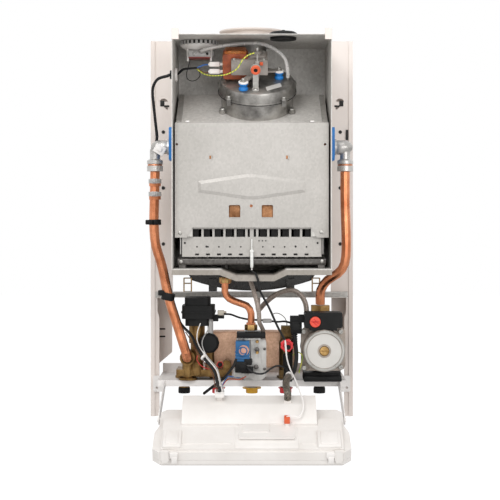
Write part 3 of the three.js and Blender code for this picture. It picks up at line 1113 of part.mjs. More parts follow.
// A cable's last stretch, square to the face of its socket on the open box.
function socketEnd({ x, z, top }) {
  return [top + 11, top + GAP].map((y) => vec(x, y, z).applyMatrix4(boxMatrix).toArray());
}

function controlCover() {
  const shell = cut(boxForm(0), boxForm(BOX.wall));
  const { left, right, low, high, rise } = BOX_LID;
  const lidBack = BOX_BACK.mid;
  const frame = plateY(rect(left - 6, right + 44, low - 4, high + 18), lidBack + rise - 1,
    lidBack - BOX.wall + 0.5);
  const lid = plateY(rounded(left, right, low + 6, high, 2, 2), lidBack + rise + 1, lidBack - 1);
  const pins = [-1, 1].map((side) => {
    const boss = rod(-BOX.seam - GAP, 2, vec(side * (BOX.half - 1), 0, 0), vec(side, 0, 0), 10);
    const pin = rod(PIVOT.radius, ARM.inner + ARM.sheet + 1.5 - BOX.half + 1,
      vec(side * (BOX.half - 1), 0, 0),
      vec(side, 0, 0), 10);
    return join(boss, pin);
  });
  const clips = [-1, 1].map((side) => {
    const x = side * (BOX.farHalf - 22);
    const root = block(x - 7, x + 7, BOX.seam, BOX_BACK.near + 4, BOX.high - 1, BOX.high + 3.5);
    return join(root, block(x - 5, x + 5, BOX.seam - 4, BOX.seam + 1, BOX.high + GAP, BOX.high + 3.5));
  });
  const ribs = [-60, 60].map((x) => block(x - 1.2, x + 1.2, BOX_BACK.near, BOX_BACK.hump - 0.5, BOX.low,
    BOX.low + 3));
  const sockets = BOX_SOCKETS.map(({ x, z, half, back, top }) =>
    block(x - half, x + half, back - 1.5, top, z - 5, z + 5));
  return join(shell, frame, lid, ...pins, ...clips, ...ribs, ...sockets);
}

// Front moulding with the display, and the seats of the two knobs, the button and the gauge.
function controlFascia() {
  const back = BOX.seam - GAP;
  const { front, wall } = BOX;
  const outer = join(plateY(boxOutline(0), back, front + 4), plateY(boxOutline(3), front + 4.5, front));
  const hollow = plateY(boxOutline(wall + 1), back + 1, front + wall);
  const bezel = plateY(rounded(-DISPLAY.half, DISPLAY.half, DISPLAY.low, DISPLAY.high, 5, 3), front + 1,
    front - DISPLAY.rise);
  const bores = [-KNOB.x, KNOB.x].map((x) => rod(KNOB.shaft + 0.5, 30, vec(x, 6, KNOB.z), FRONT, 10));
  const dishes = [-KNOB.x, KNOB.x].map((x) => rod(KNOB.skirt + 1.5, 1.5, vec(x, front + 1, KNOB.z), FRONT,
    20));
  const buttonBore = rod(BUTTON.radius + 0.4, 30, vec(BUTTON.x, 6, BUTTON.z), FRONT, 12);
  const gaugeBore = rod(GAUGE.radius + GAP, 30, vec(GAUGE.x, 6, GAUGE.z), FRONT, 18);
  return cut(join(cut(outer, hollow), bezel), ...bores, ...dishes, buttonBore, gaugeBore);
}

function controlKnob(x) {
  const seat = BOX.front + 1 - GAP;
  const { radius, length, skirt, z, shaft, ribs } = KNOB;
  const outline = Array.from({ length: ribs * 2 }, (_, i) =>
    arc(x, z, i % 2 ? radius : radius - 1.2, i * 180 / ribs, i * 180 / ribs, 1)[0]);
  const base = rod(skirt, 3, vec(x, seat, z), FRONT, 20);
  const grip = plateY(outline, seat - 2, seat - length);
  const pointer = block(x - 1, x + 1, seat - length - 1, seat - length + 1, z + 2, z + radius - 2);
  const spindle = rod(shaft, 14, vec(x, seat + 12, z), FRONT, 10);
  return join(base, grip, pointer, spindle);
}

function resetButton() {
  const { x, z, radius, length, travel } = BUTTON;
  const collar = rod(radius + 2, 2, vec(x, BOX.front + BOX.wall + travel + 2 + GAP, z), FRONT, 12);
  const top = BOX.front - travel - length + 3;
  const start = BOX.front + BOX.wall + travel + 1;
  const cap = turned([[0, 0], [radius, 0], [radius, start - top - 1], [radius - 1, start - top],
    [0, start - top]],
    vec(x, start, z), FRONT, 12);
  const stemFar = BOX.front + BOX.wall + travel + 2;
  const stem = rod(2, 6, vec(x, stemFar + 4, z), FRONT, 8);
  return join(collar, cap, stem);
}

function pressureGauge() {
  const { x, z, radius, rim, depth } = GAUGE;
  const profile = [[0, 0], [radius, 0], [radius, depth], [radius + rim, depth], [radius + rim, depth + 2],
    [radius, depth + 3], [radius - rim, depth + 3], [radius - rim, depth + 1.4], [0, depth + 1.4]];
  return turned(profile, vec(x, BOX.front - GAP + depth, z), FRONT, 18);
}

// ---------------------------------------------------------------- assembly

const boiler = new THREE.Group();
const frameGroup = new THREE.Group();
const controlBox = new THREE.Group();
boiler.add(frameGroup);
frameGroup.add(controlBox);
frameGroup.position.z = -mean(RAIL.low, RAIL.high);
controlBox.position.set(0, PIVOT.y, PIVOT.z);
controlBox.rotation.x = THREE.MathUtils.degToRad(BOX.open);

function add(name, solid, material, parent = frameGroup) {
  const mesh = new THREE.Mesh(toGeometry(solid), material);
  mesh.name = name;
  parent.add(mesh);
}

add('upright_left', upright(-1), finish.creamPaint);
add('upright_right', upright(1), finish.creamPaint);
add('hanging_rail', hangingRail(), finish.creamPaint);
add('cross_rail', crossRail(), finish.galvanised);
add('bottom_tray', bottomTray(), finish.whitePaint);
add('sealed_chamber', sealedChamber(), finish.galvanised);
add('casing_tab_left', casingTab(-1), finish.whitePlastic);
add('casing_tab_right', casingTab(1), finish.whitePlastic);
add('flue_collar', flueCollar(), finish.creamPaint);
add('intake_cap', intakeCap(), finish.blackPlastic);

add('flue_hood', flueHood(), finish.galvanised);
add('combustion_front', combustionFront(), finish.aluminised);
add('combustion_casing', combustionCasing(), finish.galvanised);
add('heat_exchanger', heatExchanger(), finish.copper);
add('burner', burner(), finish.darkSteel);
add('burner_apron', burnerApron(), finish.aluminised);
add('burner_rail', burnerRail(), finish.darkSteel);
add('electrode', electrode(), finish.ceramic);

add('fan_housing', fanHousing(), finish.castAluminium);
add('fan_rotor', fanRotor(), finish.galvanised);
add('motor_frame', motorFrame(), finish.laminations);
add('motor_coil', motorCoil(), finish.coilResin);
add('isolator_left', isolator(MOTOR_FEET.left), finish.blueRubber);
add('isolator_right', isolator(MOTOR_FEET.right), finish.blueRubber);
add('port_bracket', portBracket(), finish.galvanised);
add('pressure_switch', pressureSwitch(), finish.whitePlastic);
add('pressure_tube', pressureTube(), finish.silicone);

add('seal_left', sideSeal(-1), finish.blueRubber);
add('seal_right', sideSeal(1), finish.blueRubber);
add('elbow_left', elbow(ELBOW.left), finish.castAluminium);
add('elbow_right', elbow(ELBOW.right), finish.castAluminium);
add('flow_pipe', flowPipe(), finish.copper);
add('return_pipe', returnPipe(), finish.copper);
add('gas_pipe', gasPipe(), finish.copper);

add('expansion_vessel', expansionVessel(), finish.vesselPaint);
add('plate_exchanger', plateExchanger(), finish.beigeSteel);
add('hydraulic_block', hydraulicBlock(), finish.brass);
add('diverter_motor', diverterMotor(), finish.blackPlastic);
add('flow_cap', flowCap(), finish.blackPlastic);
add('gas_valve', gasValve(), finish.castAluminium);
add('gas_modulator', gasModulator(), finish.bluePlastic);
add('relief_valve', reliefValve(), finish.brass);
add('relief_knob', reliefKnob(), finish.redPlastic);
add('pump_nut', pumpNut(), finish.brass);
add('pump_body', pumpBody(), finish.blackPlastic);
add('pump_motor', pumpMotor(), finish.pumpCast);
add('pump_terminal_box', pumpTerminalBox(), finish.blackPlastic);
add('pump_speed_knob', slottedHead(SPEED_KNOB.x, SPEED_KNOB.z, TERMINALS.front + 2 - GAP, SPEED_KNOB.radius,
  SPEED_KNOB.length, 2.4), finish.orangePlastic);
add('pump_vent_screw', slottedHead(PUMP.x, PUMP.z, PUMP.front + 6 - GAP, VENT_SCREW.radius,
  VENT_SCREW.length + 3, VENT_SCREW.slot), finish.brass);
add('vessel_hose', tube(VESSEL_HOSE, VESSEL_HOSE_RADIUS, 10, 11), finish.silicone);
add('vent_hose', tube(VENT_HOSE, VENT_HOSE_RADIUS, 10, 10), finish.silicone);

add('control_cover', controlCover(), finish.boxPlastic, controlBox);
add('control_fascia', controlFascia(), finish.boxPlastic, controlBox);
add('heating_knob', controlKnob(-KNOB.x), finish.greyPlastic, controlBox);
add('water_knob', controlKnob(KNOB.x), finish.greyPlastic, controlBox);
add('reset_button', resetButton(), finish.greyPlastic, controlBox);
add('pressure_gauge', pressureGauge(), finish.lens, controlBox);

add('main_harness', tube([...MAIN_HARNESS, ...socketEnd(BOX_SOCKETS[0])], 2.8, 6, 20), finish.cable);
add('ignition_lead', tube([...IGNITION_LEAD, ...socketEnd(BOX_SOCKETS[2])], 2, 6, 13), finish.cable);
add('pump_cable', tube([...PUMP_CABLE, ...socketEnd(BOX_SOCKETS[1])], 4, 6, 11), finish.cable);

export default boiler;
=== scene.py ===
"""Wall-hung combi boiler with its casing off: materials, hoses, wires and small fittings."""

import json
from math import cos, pi, radians, sin

import bmesh
import bpy
from mathutils import Matrix, Vector


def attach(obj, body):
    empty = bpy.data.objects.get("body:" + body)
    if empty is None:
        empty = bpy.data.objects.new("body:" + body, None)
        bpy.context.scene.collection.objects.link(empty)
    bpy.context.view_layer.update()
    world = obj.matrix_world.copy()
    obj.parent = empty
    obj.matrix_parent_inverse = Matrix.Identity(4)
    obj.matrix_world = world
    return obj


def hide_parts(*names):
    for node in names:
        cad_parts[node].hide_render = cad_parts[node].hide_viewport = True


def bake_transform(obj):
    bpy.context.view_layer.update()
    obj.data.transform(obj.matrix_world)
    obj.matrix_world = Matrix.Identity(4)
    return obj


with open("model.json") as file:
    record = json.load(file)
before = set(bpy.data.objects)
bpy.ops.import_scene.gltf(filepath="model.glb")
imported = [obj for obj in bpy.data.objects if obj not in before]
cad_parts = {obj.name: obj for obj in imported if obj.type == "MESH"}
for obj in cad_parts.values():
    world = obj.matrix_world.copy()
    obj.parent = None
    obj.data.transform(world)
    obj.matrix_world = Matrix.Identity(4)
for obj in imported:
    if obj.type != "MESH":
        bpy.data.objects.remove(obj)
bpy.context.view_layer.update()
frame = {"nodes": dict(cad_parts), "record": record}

MM = 0.001
FOOT = 710.5  # the frame's foot lies this far under the origin
FORWARD = (0, -1, 0)
BODY_OF = {node: body for body, nodes in frame["record"]["behaviour"]["bodies"].items() for node in nodes}
JOINT = {joint["name"]: joint for joint in frame["record"]["behaviour"]["joints"]}


def at(x, y, z):
    """A point given in millimetres from the frame's foot."""
    return Vector((x, y, z - FOOT)) * MM


# ---- camera

# Level, 2.65 m in front of the wall, as in the photograph.
camera_data = bpy.data.cameras.new("camera")
camera_data.sensor_width = 36
camera_data.lens = 95.7
camera_data.shift_x = -0.0036
camera_data.shift_y = -0.076
camera = bpy.data.objects.new("camera", camera_data)
camera.location = at(0, -2650, 398)
camera.rotation_euler = (radians(90), 0, 0)
bpy.context.collection.objects.link(camera)
bpy.context.scene.camera = camera
bpy.context.scene.view_settings.view_transform = "Standard"


# ---- materials

def rgb(code):
    """A written sRGB colour as the linear one the shader takes."""
    parts = [int(code[i:i + 2], 16) / 255 for i in (0, 2, 4)]
    return [c / 12.92 if c < 0.04045 else ((c + 0.055) / 1.055) ** 2.4 for c in parts] + [1]


# The record's slot that a finish stands for, where the two have different names.
SLOT_FOR = {"winding": "coil_resin", "brown_wire": "coil_resin", "peach_cap": "coil_resin",
            "blue_wire": "blue_plastic", "red_wire": "red_plastic", "brick_seal": "red_plastic",
            "orange_grommet": "orange_plastic", "shadow_slot": "black_plastic",
            "milky_shell": "white_plastic", "white_wire": "white_plastic", "beige_plastic": "white_plastic",
            "blank_label": "white_plastic", "zinc_screw": "galvanised", "shaded_fold_steel": "galvanised",
            "plated_casting": "cast_aluminium", "baked_copper": "copper", "yellow_cap": "brass",
            "gold_wire": "brass", "earth_wire": "cable_sheath", "dark_braid": "cable_sheath"}
FINISH = {}  # every finish by its name


class Finish:
    """A Principled material whose colour, roughness and height come from patterns."""

    def __init__(self, name, color, roughness, metallic=0.0, **sockets):
        FINISH[name] = self
        self.material = bpy.data.materials.new(name)
        self.material.use_nodes = True
        self.nodes = self.material.node_tree.nodes
        self.links = self.material.node_tree.links
        self.shader = self.nodes["Principled BSDF"]
        self.slot = SLOT_FOR.get(name, name)
        self.shader.inputs["Base Color"].default_value = rgb(color)
        self.shader.inputs["Roughness"].default_value = roughness
        self.shader.inputs["Metallic"].default_value = metallic
        for socket, value in sockets.items():
            self.shader.inputs[socket.replace("_", " ")].default_value = value

    def node(self, kind, **values):
        made = self.nodes.new(kind)
        for key, value in values.items():
            if key in made.inputs:
                made.inputs[key].default_value = value
            else:
                setattr(made, key, value)
        return made

    def coordinates(self, stretch=(1, 1, 1), turn=(0, 0, 0)):
        texture = self.node("ShaderNodeTexCoord")
        mapping = self.node("ShaderNodeMapping", Scale=stretch, Rotation=turn)
        self.links.new(texture.outputs["Object"], mapping.inputs["Vector"])
        return mapping.outputs["Vector"]

    def noise(self, scale, detail=3.0, stretch=(1, 1, 1)):
        made = self.node("ShaderNodeTexNoise", Scale=scale, Detail=detail, Roughness=0.6)
        self.links.new(self.coordinates(stretch), made.inputs["Vector"])
        return made.outputs["Fac"]

    def cells(self, scale, stretch=(1, 1, 1)):
        made = self.node("ShaderNodeTexVoronoi", Scale=scale)
        self.links.new(self.coordinates(stretch), made.inputs["Vector"])
        grey = self.node("ShaderNodeRGBToBW")
        self.links.new(made.outputs["Color"], grey.inputs["Color"])
        return grey.outputs["Val"]

    def bands(self, scale, axis, distortion=0.0, turn=(0, 0, 0)):
        made = self.node("ShaderNodeTexWave", Scale=scale, Distortion=distortion, bands_direction=axis)
        self.links.new(self.coordinates((1, 1, 1), turn), made.inputs["Vector"])
        return made.outputs["Fac"]

    def climb(self, axis, start, end):
        """0 below one level and 1 above the other, along an axis of the frame in metres."""
        parts = self.node("ShaderNodeSeparateXYZ")
        self.links.new(self.coordinates(), parts.inputs["Vector"])
        return self.spread(parts.outputs[axis], 0, 1, start, end)

    def spread(self, factor, low, high, start=0.3, end=0.7):
        made = self.node("ShaderNodeMapRange")
        for key, value in (("From Min", start), ("From Max", end), ("To Min", low), ("To Max", high)):
            made.inputs[key].default_value = value
        self.links.new(factor, made.inputs["Value"])
        return made.outputs["Result"]

    def tint(self, factor, low, high, start=0.3, end=0.7):
        """Colours the surface from low to high as the pattern rises."""
        ramp = self.node("ShaderNodeValToRGB")
        ramp.color_ramp.elements[0].position = start
        ramp.color_ramp.elements[1].position = end
        ramp.color_ramp.elements[0].color = rgb(low)
        ramp.color_ramp.elements[1].color = rgb(high)
        self.links.new(factor, ramp.inputs["Fac"])
        before = self.shader.inputs["Base Color"]
        if before.is_linked:
            mix = self.node("ShaderNodeMix", data_type="RGBA", blend_type="MULTIPLY")
            mix.inputs["Factor"].default_value = 1.0
            self.links.new(before.links[0].from_socket, mix.inputs[6])
            self.links.new(ramp.outputs["Color"], mix.inputs[7])
            self.links.new(mix.outputs[2], before)
        else:
            self.links.new(ramp.outputs["Color"], before)
        return self

    def polish(self, factor, low, high, start=0.3, end=0.7):
        """Roughness from low to high as the pattern rises."""
        self.links.new(self.spread(factor, low, high, start, end), self.shader.inputs["Roughness"])
        return self

    def relief(self, factor, height, strength=1.0):
        """A bump of this height in millimetres."""
        bump = self.node("ShaderNodeBump", Strength=strength, Distance=height * MM)
        self.links.new(factor, bump.inputs["Height"])
        before = self.shader.inputs["Normal"]
        if before.is_linked:
            self.links.new(before.links[0].from_socket, bump.inputs["Normal"])
        self.links.new(bump.outputs["Normal"], before)
        return self


def sheet_metal(name, low, high, roughness, metallic, grain):
    made = Finish(name, high, roughness, metallic)
    made.tint(made.cells(grain, (1, 1, 0.8)), low, high, 0.1, 0.9)
    made.tint(made.noise(6, 2), "ededec", "ffffff")
    made.polish(made.noise(35, 4, (1, 1, 0.3)), roughness - 0.08, roughness + 0.1)
    return made.relief(made.noise(900, 2, (1, 1, 0.15)), 0.05, 0.4)


def powder_coat(name, low, high, roughness=0.42):
    made = Finish(name, high, roughness)
    made.tint(made.noise(7, 3), low, high)
    made.polish(made.noise(60, 3), roughness - 0.06, roughness + 0.08)
    return made.relief(made.noise(1100, 2), 0.06, 0.35)


def moulded(name, low, high, roughness=0.45, **sockets):
    made = Finish(name, high, roughness, **sockets)
    made.tint(made.noise(18, 3), low, high)
    made.polish(made.noise(90, 3), roughness - 0.05, roughness + 0.1)
    return made.relief(made.noise(2200, 2), 0.03, 0.5)


def cast(name, low, high, roughness=0.45, metallic=0.85, grain=700):
    made = Finish(name, high, roughness, metallic)
    made.tint(made.noise(28, 5), low, high, 0.32, 0.66)
    made.polish(made.noise(70, 4), roughness - 0.1, roughness + 0.14)
    made.relief(made.noise(grain, 4), 0.35, 0.5)
    return made.relief(made.noise(60, 2), 0.5, 0.3)


def drawn(name, low, high, roughness=0.26, stretch=(1, 1, 0.08)):
    """Drawn or forged copper alloy: streaks along the work and darker tarnish."""
    made = Finish(name, high, roughness, 1.0)
    made.tint(made.noise(38, 5), low, high, 0.3, 0.62)
    made.tint(made.noise(300, 3, stretch), "e4dcd8", "ffffff")
    made.polish(made.noise(45, 4), roughness - 0.08, roughness + 0.16)
    return made.relief(made.noise(420, 2, stretch), 0.04, 0.5)


galvanised = sheet_metal("galvanised", "bab7b2", "cfccc7", 0.44, 0.35, 230)
aluminised = sheet_metal("aluminised", "b2aea9", "bbb7b2", 0.42, 0.25, 300)
cream_paint = powder_coat("cream_paint", "ddd2ca", "e4dbd5")
powder_coat("white_paint", "e2dedb", "eae6e3")
white_plastic = moulded("white_plastic", "e2deda", "ebe7e4")
box_plastic = moulded("box_plastic", "ddd8d3", "e6e2de", 0.4)
moulded("grey_plastic", "a5a19e", "b4b1ae")
black_plastic = moulded("black_plastic", "0e0e0e", "191919", 0.5, Specular_IOR_Level=0.2)
copper = drawn("copper", "c67c56", "eb9e74", 0.28)
brass = drawn("brass", "8a6b40", "c9a870", 0.36, (1, 1, 1))
dark_steel = sheet_metal("dark_steel", "54514e", "706c69", 0.42, 0.6, 260)
moulded("ceramic", "dfdfda", "ebebe8", 0.2)
cast("cast_aluminium", "777674", "9a9996", 0.5, 0.6)
laminations = cast("laminations", "7d7771", "a39b94", 0.5, 0.5)
MOTOR_TILT = radians(27.2)
laminations.relief(laminations.bands(260, "Z", 0, (MOTOR_TILT, 0, 0)), 0.4, 0.8)
coil_resin = Finish("coil_resin", "8e4424", 0.32)
coil_resin.tint(coil_resin.noise(90, 4), "74351b", "9e4c28")
moulded("blue_rubber", "1066ae", "1f80cc", 0.45)
silicone = moulded("silicone", "c9c6c2", "dcd9d6", 0.22, Transmission_Weight=0.3, IOR=1.41)
powder_coat("vessel_paint", "24221f", "33302d", 0.24)
drawn("exchanger_steel", "c9a38a", "e8c2a6", 0.36, (1, 1, 1))
blue_plastic = moulded("blue_plastic", "164f7d", "20669a")
red_plastic = moulded("red_plastic", "c41a20", "dd2a30", 0.3)
cast("pump_casting", "8f857c", "b3a79c", 0.45, 0.4)
moulded("orange_plastic", "dc4630", "ee5a44", 0.3)
moulded("gauge_lens", "1c2428", "28333a", 0.08, Coat_Weight=1.0)
cable_sheath = Finish("cable_sheath", "161617", 0.5, Specular_IOR_Level=0.3)
cable_sheath.tint(cable_sheath.noise(60, 3), "101011", "1f1f20")
cable_sheath.relief(cable_sheath.noise(1500, 2), 0.1, 0.6)

# Finishes of the small fittings, and of the nodes that look worn or stained, or carry painted light or
# shade.
braid = Finish("braided_hose", "a2948a", 0.4, 0.4)
braid.tint(braid.cells(900), "857970", "b9aca2", 0.1, 0.9)
braid.relief(braid.cells(900), 0.5, 0.8)
winding = Finish("winding", "b4552b", 0.25, 0.9)
winding.tint(winding.noise(70, 3), "b86230", "f0a468")
winding.relief(winding.bands(560, "X"), 0.5, 0.9)
zinc = cast("zinc_screw", "8f8d88", "b8b6b1", 0.34, 0.8, 500)
# A near-black: painted shade in holes and slots, and the colour of dark seams and bands.
shadow_slot = moulded("shadow_slot", "1a1918", "262422", 0.7)
milky = moulded("milky_shell", "b5b3b0", "cbc9c6", 0.3, Transmission_Weight=0.25)
blue_wire = moulded("blue_wire", "1c5fae", "2c74c6", 0.4)
brown_wire = moulded("brown_wire", "54301f", "6b4029", 0.4)
white_wire = moulded("white_wire", "dedad6", "ebe8e5", 0.4)
red_wire = moulded("red_wire", "b2202a", "cf333a", 0.4)
earth_wire = Finish("earth_wire", "9db24a", 0.4)
earth_wire.tint(earth_wire.bands(60, "X", 2.0), "86a843", "dcd350", 0.3, 0.5)
orange_grommet = moulded("orange_grommet", "c8502c", "dd6238", 0.4)
beige_plastic = moulded("beige_plastic", "cfc6b4", "ddd5c6", 0.45)
yellow_cap = moulded("yellow_cap", "cf9a22", "e0ae34", 0.4)
dark_braid = Finish("dark_braid", "4a453f", 0.4, 0.3)
dark_braid.tint(dark_braid.cells(900), "1f1d1b", "8a8172", 0.2, 0.9)
dark_braid.relief(dark_braid.cells(900), 0.5, 0.8)
# Painted light: the sealed chamber's steel is a lighter copy of the galvanised sheet, to make up for the
# shade inside the chamber. Painted shade darkens it below about 294 mm over the frame's foot, on its folded
# lip.
painted_light_chamber_steel = sheet_metal("painted_light_chamber_steel", "cdc9c4", "e1ded9", 0.44, 0.1, 230)
painted_light_chamber_steel.tint(painted_light_chamber_steel.climb("Z", -0.4165, -0.4145), "b8b2ac", "ffffff", 0.1, 0.9)
# Painted shade: a darker copy of the galvanised sheet, for the shaded folds along the hood's sides.
shaded_fold_steel = sheet_metal("shaded_fold_steel", "9d9994", "b2aea9", 0.42, 0.3, 230)
brick_seal = moulded("brick_seal", "8c3a33", "a04a40", 0.4)
# Painted light: the flue hood's steel is a lighter copy of the galvanised sheet, to make up for the shade
# inside the chamber.
painted_light_hood_steel = sheet_metal("painted_light_hood_steel", "c9c5c0", "dcd8d3", 0.42, 0.2, 230)
blank_label = moulded("blank_label", "bfbcb7", "cbc8c3", 0.5)
fan_casting = Finish("fan_casting", "a8a5a0", 0.34, 0.8)
fan_casting.tint(fan_casting.noise(26, 4), "625f5c", "b3b0ab", 0.32, 0.66)
fan_casting.polish(fan_casting.noise(40, 4), 0.26, 0.46)
fan_casting.relief(fan_casting.noise(240, 3), 0.12, 0.35)
plated_casting = cast("plated_casting", "a9a6a2", "cfccc8", 0.3, 0.7, 600)
valve_casting = cast("valve_casting", "a09e9a", "c8c6c2", 0.38, 0.4, 600)
baked_copper = drawn("baked_copper", "6d4a31", "bd8e68", 0.5, (1, 1, 1))
worn_brass = drawn("worn_brass", "5b462b", "a08253", 0.38, (1, 1, 1))
peach_cap = moulded("peach_cap", "b98571", "cf9d88", 0.4)
# A darker brass for the relief valve's body.
dark_brass = drawn("dark_brass", "4f4230", "7d6844", 0.45, (1, 1, 1))
# Painted shade: the burner is made nearly black, for the shade that fills the windows of its apron.
shaded_burner_steel = sheet_metal("shaded_burner_steel", "0c0b0b", "1b1918", 0.6, 0.0, 260)
shaded_burner_steel.shader.inputs["Specular IOR Level"].default_value = 0.2
gold_wire = drawn("gold_wire", "a98a58", "cfae78", 0.35)
SLOT_OF = {part["node"]: part["material_slot"] for part in frame["record"]["subparts"]}


# ---- making pieces

def placed(name, mesh, finish, body="base"):
    """Links a mesh as a piece that rides on a body, or on none if no body is given."""
    mesh.materials.clear()
    mesh.materials.append(finish.material)
    piece = bpy.data.objects.new(name, mesh)
    bpy.context.collection.objects.link(piece)
    if body:
        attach(piece, body)
    return piece


def smooth(mesh, angle):
    mesh.polygons.foreach_set("use_smooth", [True] * len(mesh.polygons))
    mesh.set_sharp_from_angle(angle=radians(angle))


def soften(piece, width, angle):
    bevel = piece.modifiers.new("edges", "BEVEL")
    bevel.width = width * MM
    bevel.segments = 2
    bevel.limit_method = "ANGLE"
    bevel.angle_limit = radians(angle)
    bevel.harden_normals = True
    bevel.miter_outer = "MITER_ARC"


def dressed(node, width=0.4, angle=32):
    """A copy of the CAD node with its round faces smooth and, where a width is given, its edges broken."""
    shape = bmesh.new()
    shape.from_mesh(frame["nodes"][node].data)
    bmesh.ops.remove_doubles(shape, verts=shape.verts, dist=2e-6)
    if width:
        bmesh.ops.dissolve_limit(shape, angle_limit=radians(0.6), verts=shape.verts, edges=shape.edges)
    mesh = bpy.data.meshes.new(node + "_shell")
    shape.to_mesh(mesh)
    shape.free()
    if "custom_normal" in mesh.attributes:
        mesh.attributes.remove(mesh.attributes["custom_normal"])
    smooth(mesh, angle)
    slot = SLOT_OF[node]
    piece = placed(node + "_shell", mesh, OWN_FINISH.get(node) or FINISH[slot], BODY_OF[node])
    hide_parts(node)
    if width:
        soften(piece, width, angle)


def curve_points(route, step=3.0):
    """A smooth line through the route's points, the same centripetal curve as the solids follow."""
    points = [Vector(p) for p in route]
    points = [2 * points[0] - points[1]] + points + [2 * points[-1] - points[-2]]
    line = []
    for p0, p1, p2, p3 in zip(points, points[1:], points[2:], points[3:]):
        gaps = [max((b - a).length ** 0.5, 1e-4) for a, b in ((p0, p1), (p1, p2), (p2, p3))]
        t0, t1, t2, t3 = 0, gaps[0], gaps[0] + gaps[1], sum(gaps)
        count = max(2, round((p2 - p1).length / step))
        for i in range(count):
            t = t1 + (t2 - t1) * i / count
            a1 = p0 * (t1 - t) / (t1 - t0) + p1 * (t - t0) / (t1 - t0)
            a2 = p1 * (t2 - t) / (t2 - t1) + p2 * (t - t1) / (t2 - t1)
            a3 = p2 * (t3 - t) / (t3 - t2) + p3 * (t - t2) / (t3 - t2)
            b1 = a1 * (t2 - t) / (t2 - t0) + a2 * (t - t0) / (t2 - t0)
            b2 = a2 * (t3 - t) / (t3 - t1) + a3 * (t - t1) / (t3 - t1)
            line.append(b1 * (t2 - t) / (t2 - t1) + b2 * (t - t1) / (t2 - t1))
    line.append(points[-2])
    return [at(*p) for p in line]


def swept(name, line, radius, sides=16):
    """A round tube of this radius, in millimetres, along a line of points."""
    curve = bpy.data.curves.new(name, "CURVE")
    curve.dimensions = "3D"
    curve.bevel_depth = radius * MM
    curve.bevel_resolution = max(1, sides // 4 - 1)
    curve.use_fill_caps = True
    curve.twist_mode = "MINIMUM"
    spline = curve.splines.new("POLY")
    spline.points.add(len(line) - 1)
    for point, place in zip(spline.points, line):
        point.co = (*place, 1)
    holder = bpy.data.objects.new(name, curve)
    bpy.context.collection.objects.link(holder)
    bpy.context.view_layer.update()
    mesh = bpy.data.meshes.new_from_object(holder.evaluated_get(bpy.context.evaluated_depsgraph_get()))
    mesh.name = name
    bpy.data.objects.remove(holder)
    bpy.data.curves.remove(curve)
    smooth(mesh, 40)
    return mesh


def run_length(line):
    return sum((b - a).length for a, b in zip(line, line[1:]))


class Shape:
    """A piece in the making, in millimetres from the frame's foot or in the axes of a given frame."""

    def __init__(self, frame_matrix=None):
        self.whole = bmesh.new()
        self.frame = frame_matrix or Matrix()

    def add(self, part, matrix=None):
        bmesh.ops.recalc_face_normals(part, faces=part.faces)
        bmesh.ops.transform(part, matrix=self.frame @ (matrix or Matrix()), verts=part.verts)
        step = bpy.data.meshes.new("step")
        part.to_mesh(step)
        part.free()
        self.whole.from_mesh(step)
        bpy.data.meshes.remove(step)
        return self

    def block(self, x0, x1, y0, y1, z0, z1, edge, segments, matrix=None):
        """A block between these limits with its edges rounded."""
        part = bmesh.new()
        bmesh.ops.create_cube(part, size=1)
        bmesh.ops.scale(part, verts=part.verts, vec=(x1 - x0, y1 - y0, z1 - z0))
        bmesh.ops.translate(part, verts=part.verts, vec=((x0 + x1) / 2, (y0 + y1) / 2, (z0 + z1) / 2))
        bmesh.ops.bevel(part, geom=part.edges, offset=edge, segments=segments, profile=0.5, affect="EDGES",
                        material=-1, clamp_overlap=True)
        return self.add(part, matrix)

    def turned(self, profile, base, axis=(0, 0, 1), sides=32):
        """A profile of (radius, height) points spun about an axis that starts at the base."""
        part = bmesh.new()
        corners = [part.verts.new((radius, 0, height)) for radius, height in profile]
        lines = [part.edges.new(pair) for pair in zip(corners, corners[1:])]
        bmesh.ops.spin(part, geom=corners + lines, cent=(0, 0, 0), axis=(0, 0, 1), angle=2 * pi,
                       steps=sides, use_merge=True)
        bmesh.ops.remove_doubles(part, verts=part.verts, dist=1e-4)
        upright = Vector(axis).to_track_quat("Z", "Y").to_matrix().to_4x4()
        return self.add(part, Matrix.Translation(base) @ upright)

    def plate(self, outline, thick, matrix):
        """A flat outline in x and y, thickened upwards."""
        part = bmesh.new()
        face = part.faces.new([part.verts.new((x, y, 0)) for x, y in outline])
        grown = bmesh.ops.extrude_face_region(part, geom=[face])["geom"]
        top = [item for item in grown if isinstance(item, bmesh.types.BMVert)]
        bmesh.ops.translate(part, verts=top, vec=(0, 0, thick))
        return self.add(part, matrix)

    def tube(self, line, radius, sides):
        """A wire or pipe along a line of points in millimetres."""
        step = swept("step", [Vector(p) * MM for p in line], radius, sides)
        part = bmesh.new()
        part.from_mesh(step)
        bpy.data.meshes.remove(step)
        bmesh.ops.remove_doubles(part, verts=part.verts, dist=1e-7)
        bmesh.ops.scale(part, verts=part.verts, vec=(1000, 1000, 1000))
        return self.add(part)

    def screw(self, base, axis, radius, height):
        """The pan head of a screw."""
        return self.turned([(0, -1), (radius, -1), (radius, height * 0.35), (radius * 0.8, height * 0.8),
                            (radius * 0.4, height), (0.01, height)], base, axis, 20)

    def piece(self, name, finish, body="base", slot=None, hides=None):
        bmesh.ops.transform(self.whole, matrix=Matrix.Scale(MM, 4) @ Matrix.Translation((0, 0, -FOOT)),
                            verts=self.whole.verts)
        mesh = bpy.data.meshes.new(name)
        self.whole.to_mesh(mesh)
        self.whole.free()
        smooth(mesh, 35)
        made = placed(name, mesh, finish, body)
        if hides:
            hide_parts(hides)


def spun(name, finish, profile, base, axis=(0, 0, 1), sides=32, axes=None, **where):
    """A piece that is one turned profile, in the frame's axes or in the given ones."""
    Shape(axes).turned(profile, base, axis, sides).piece(name, finish, **where)


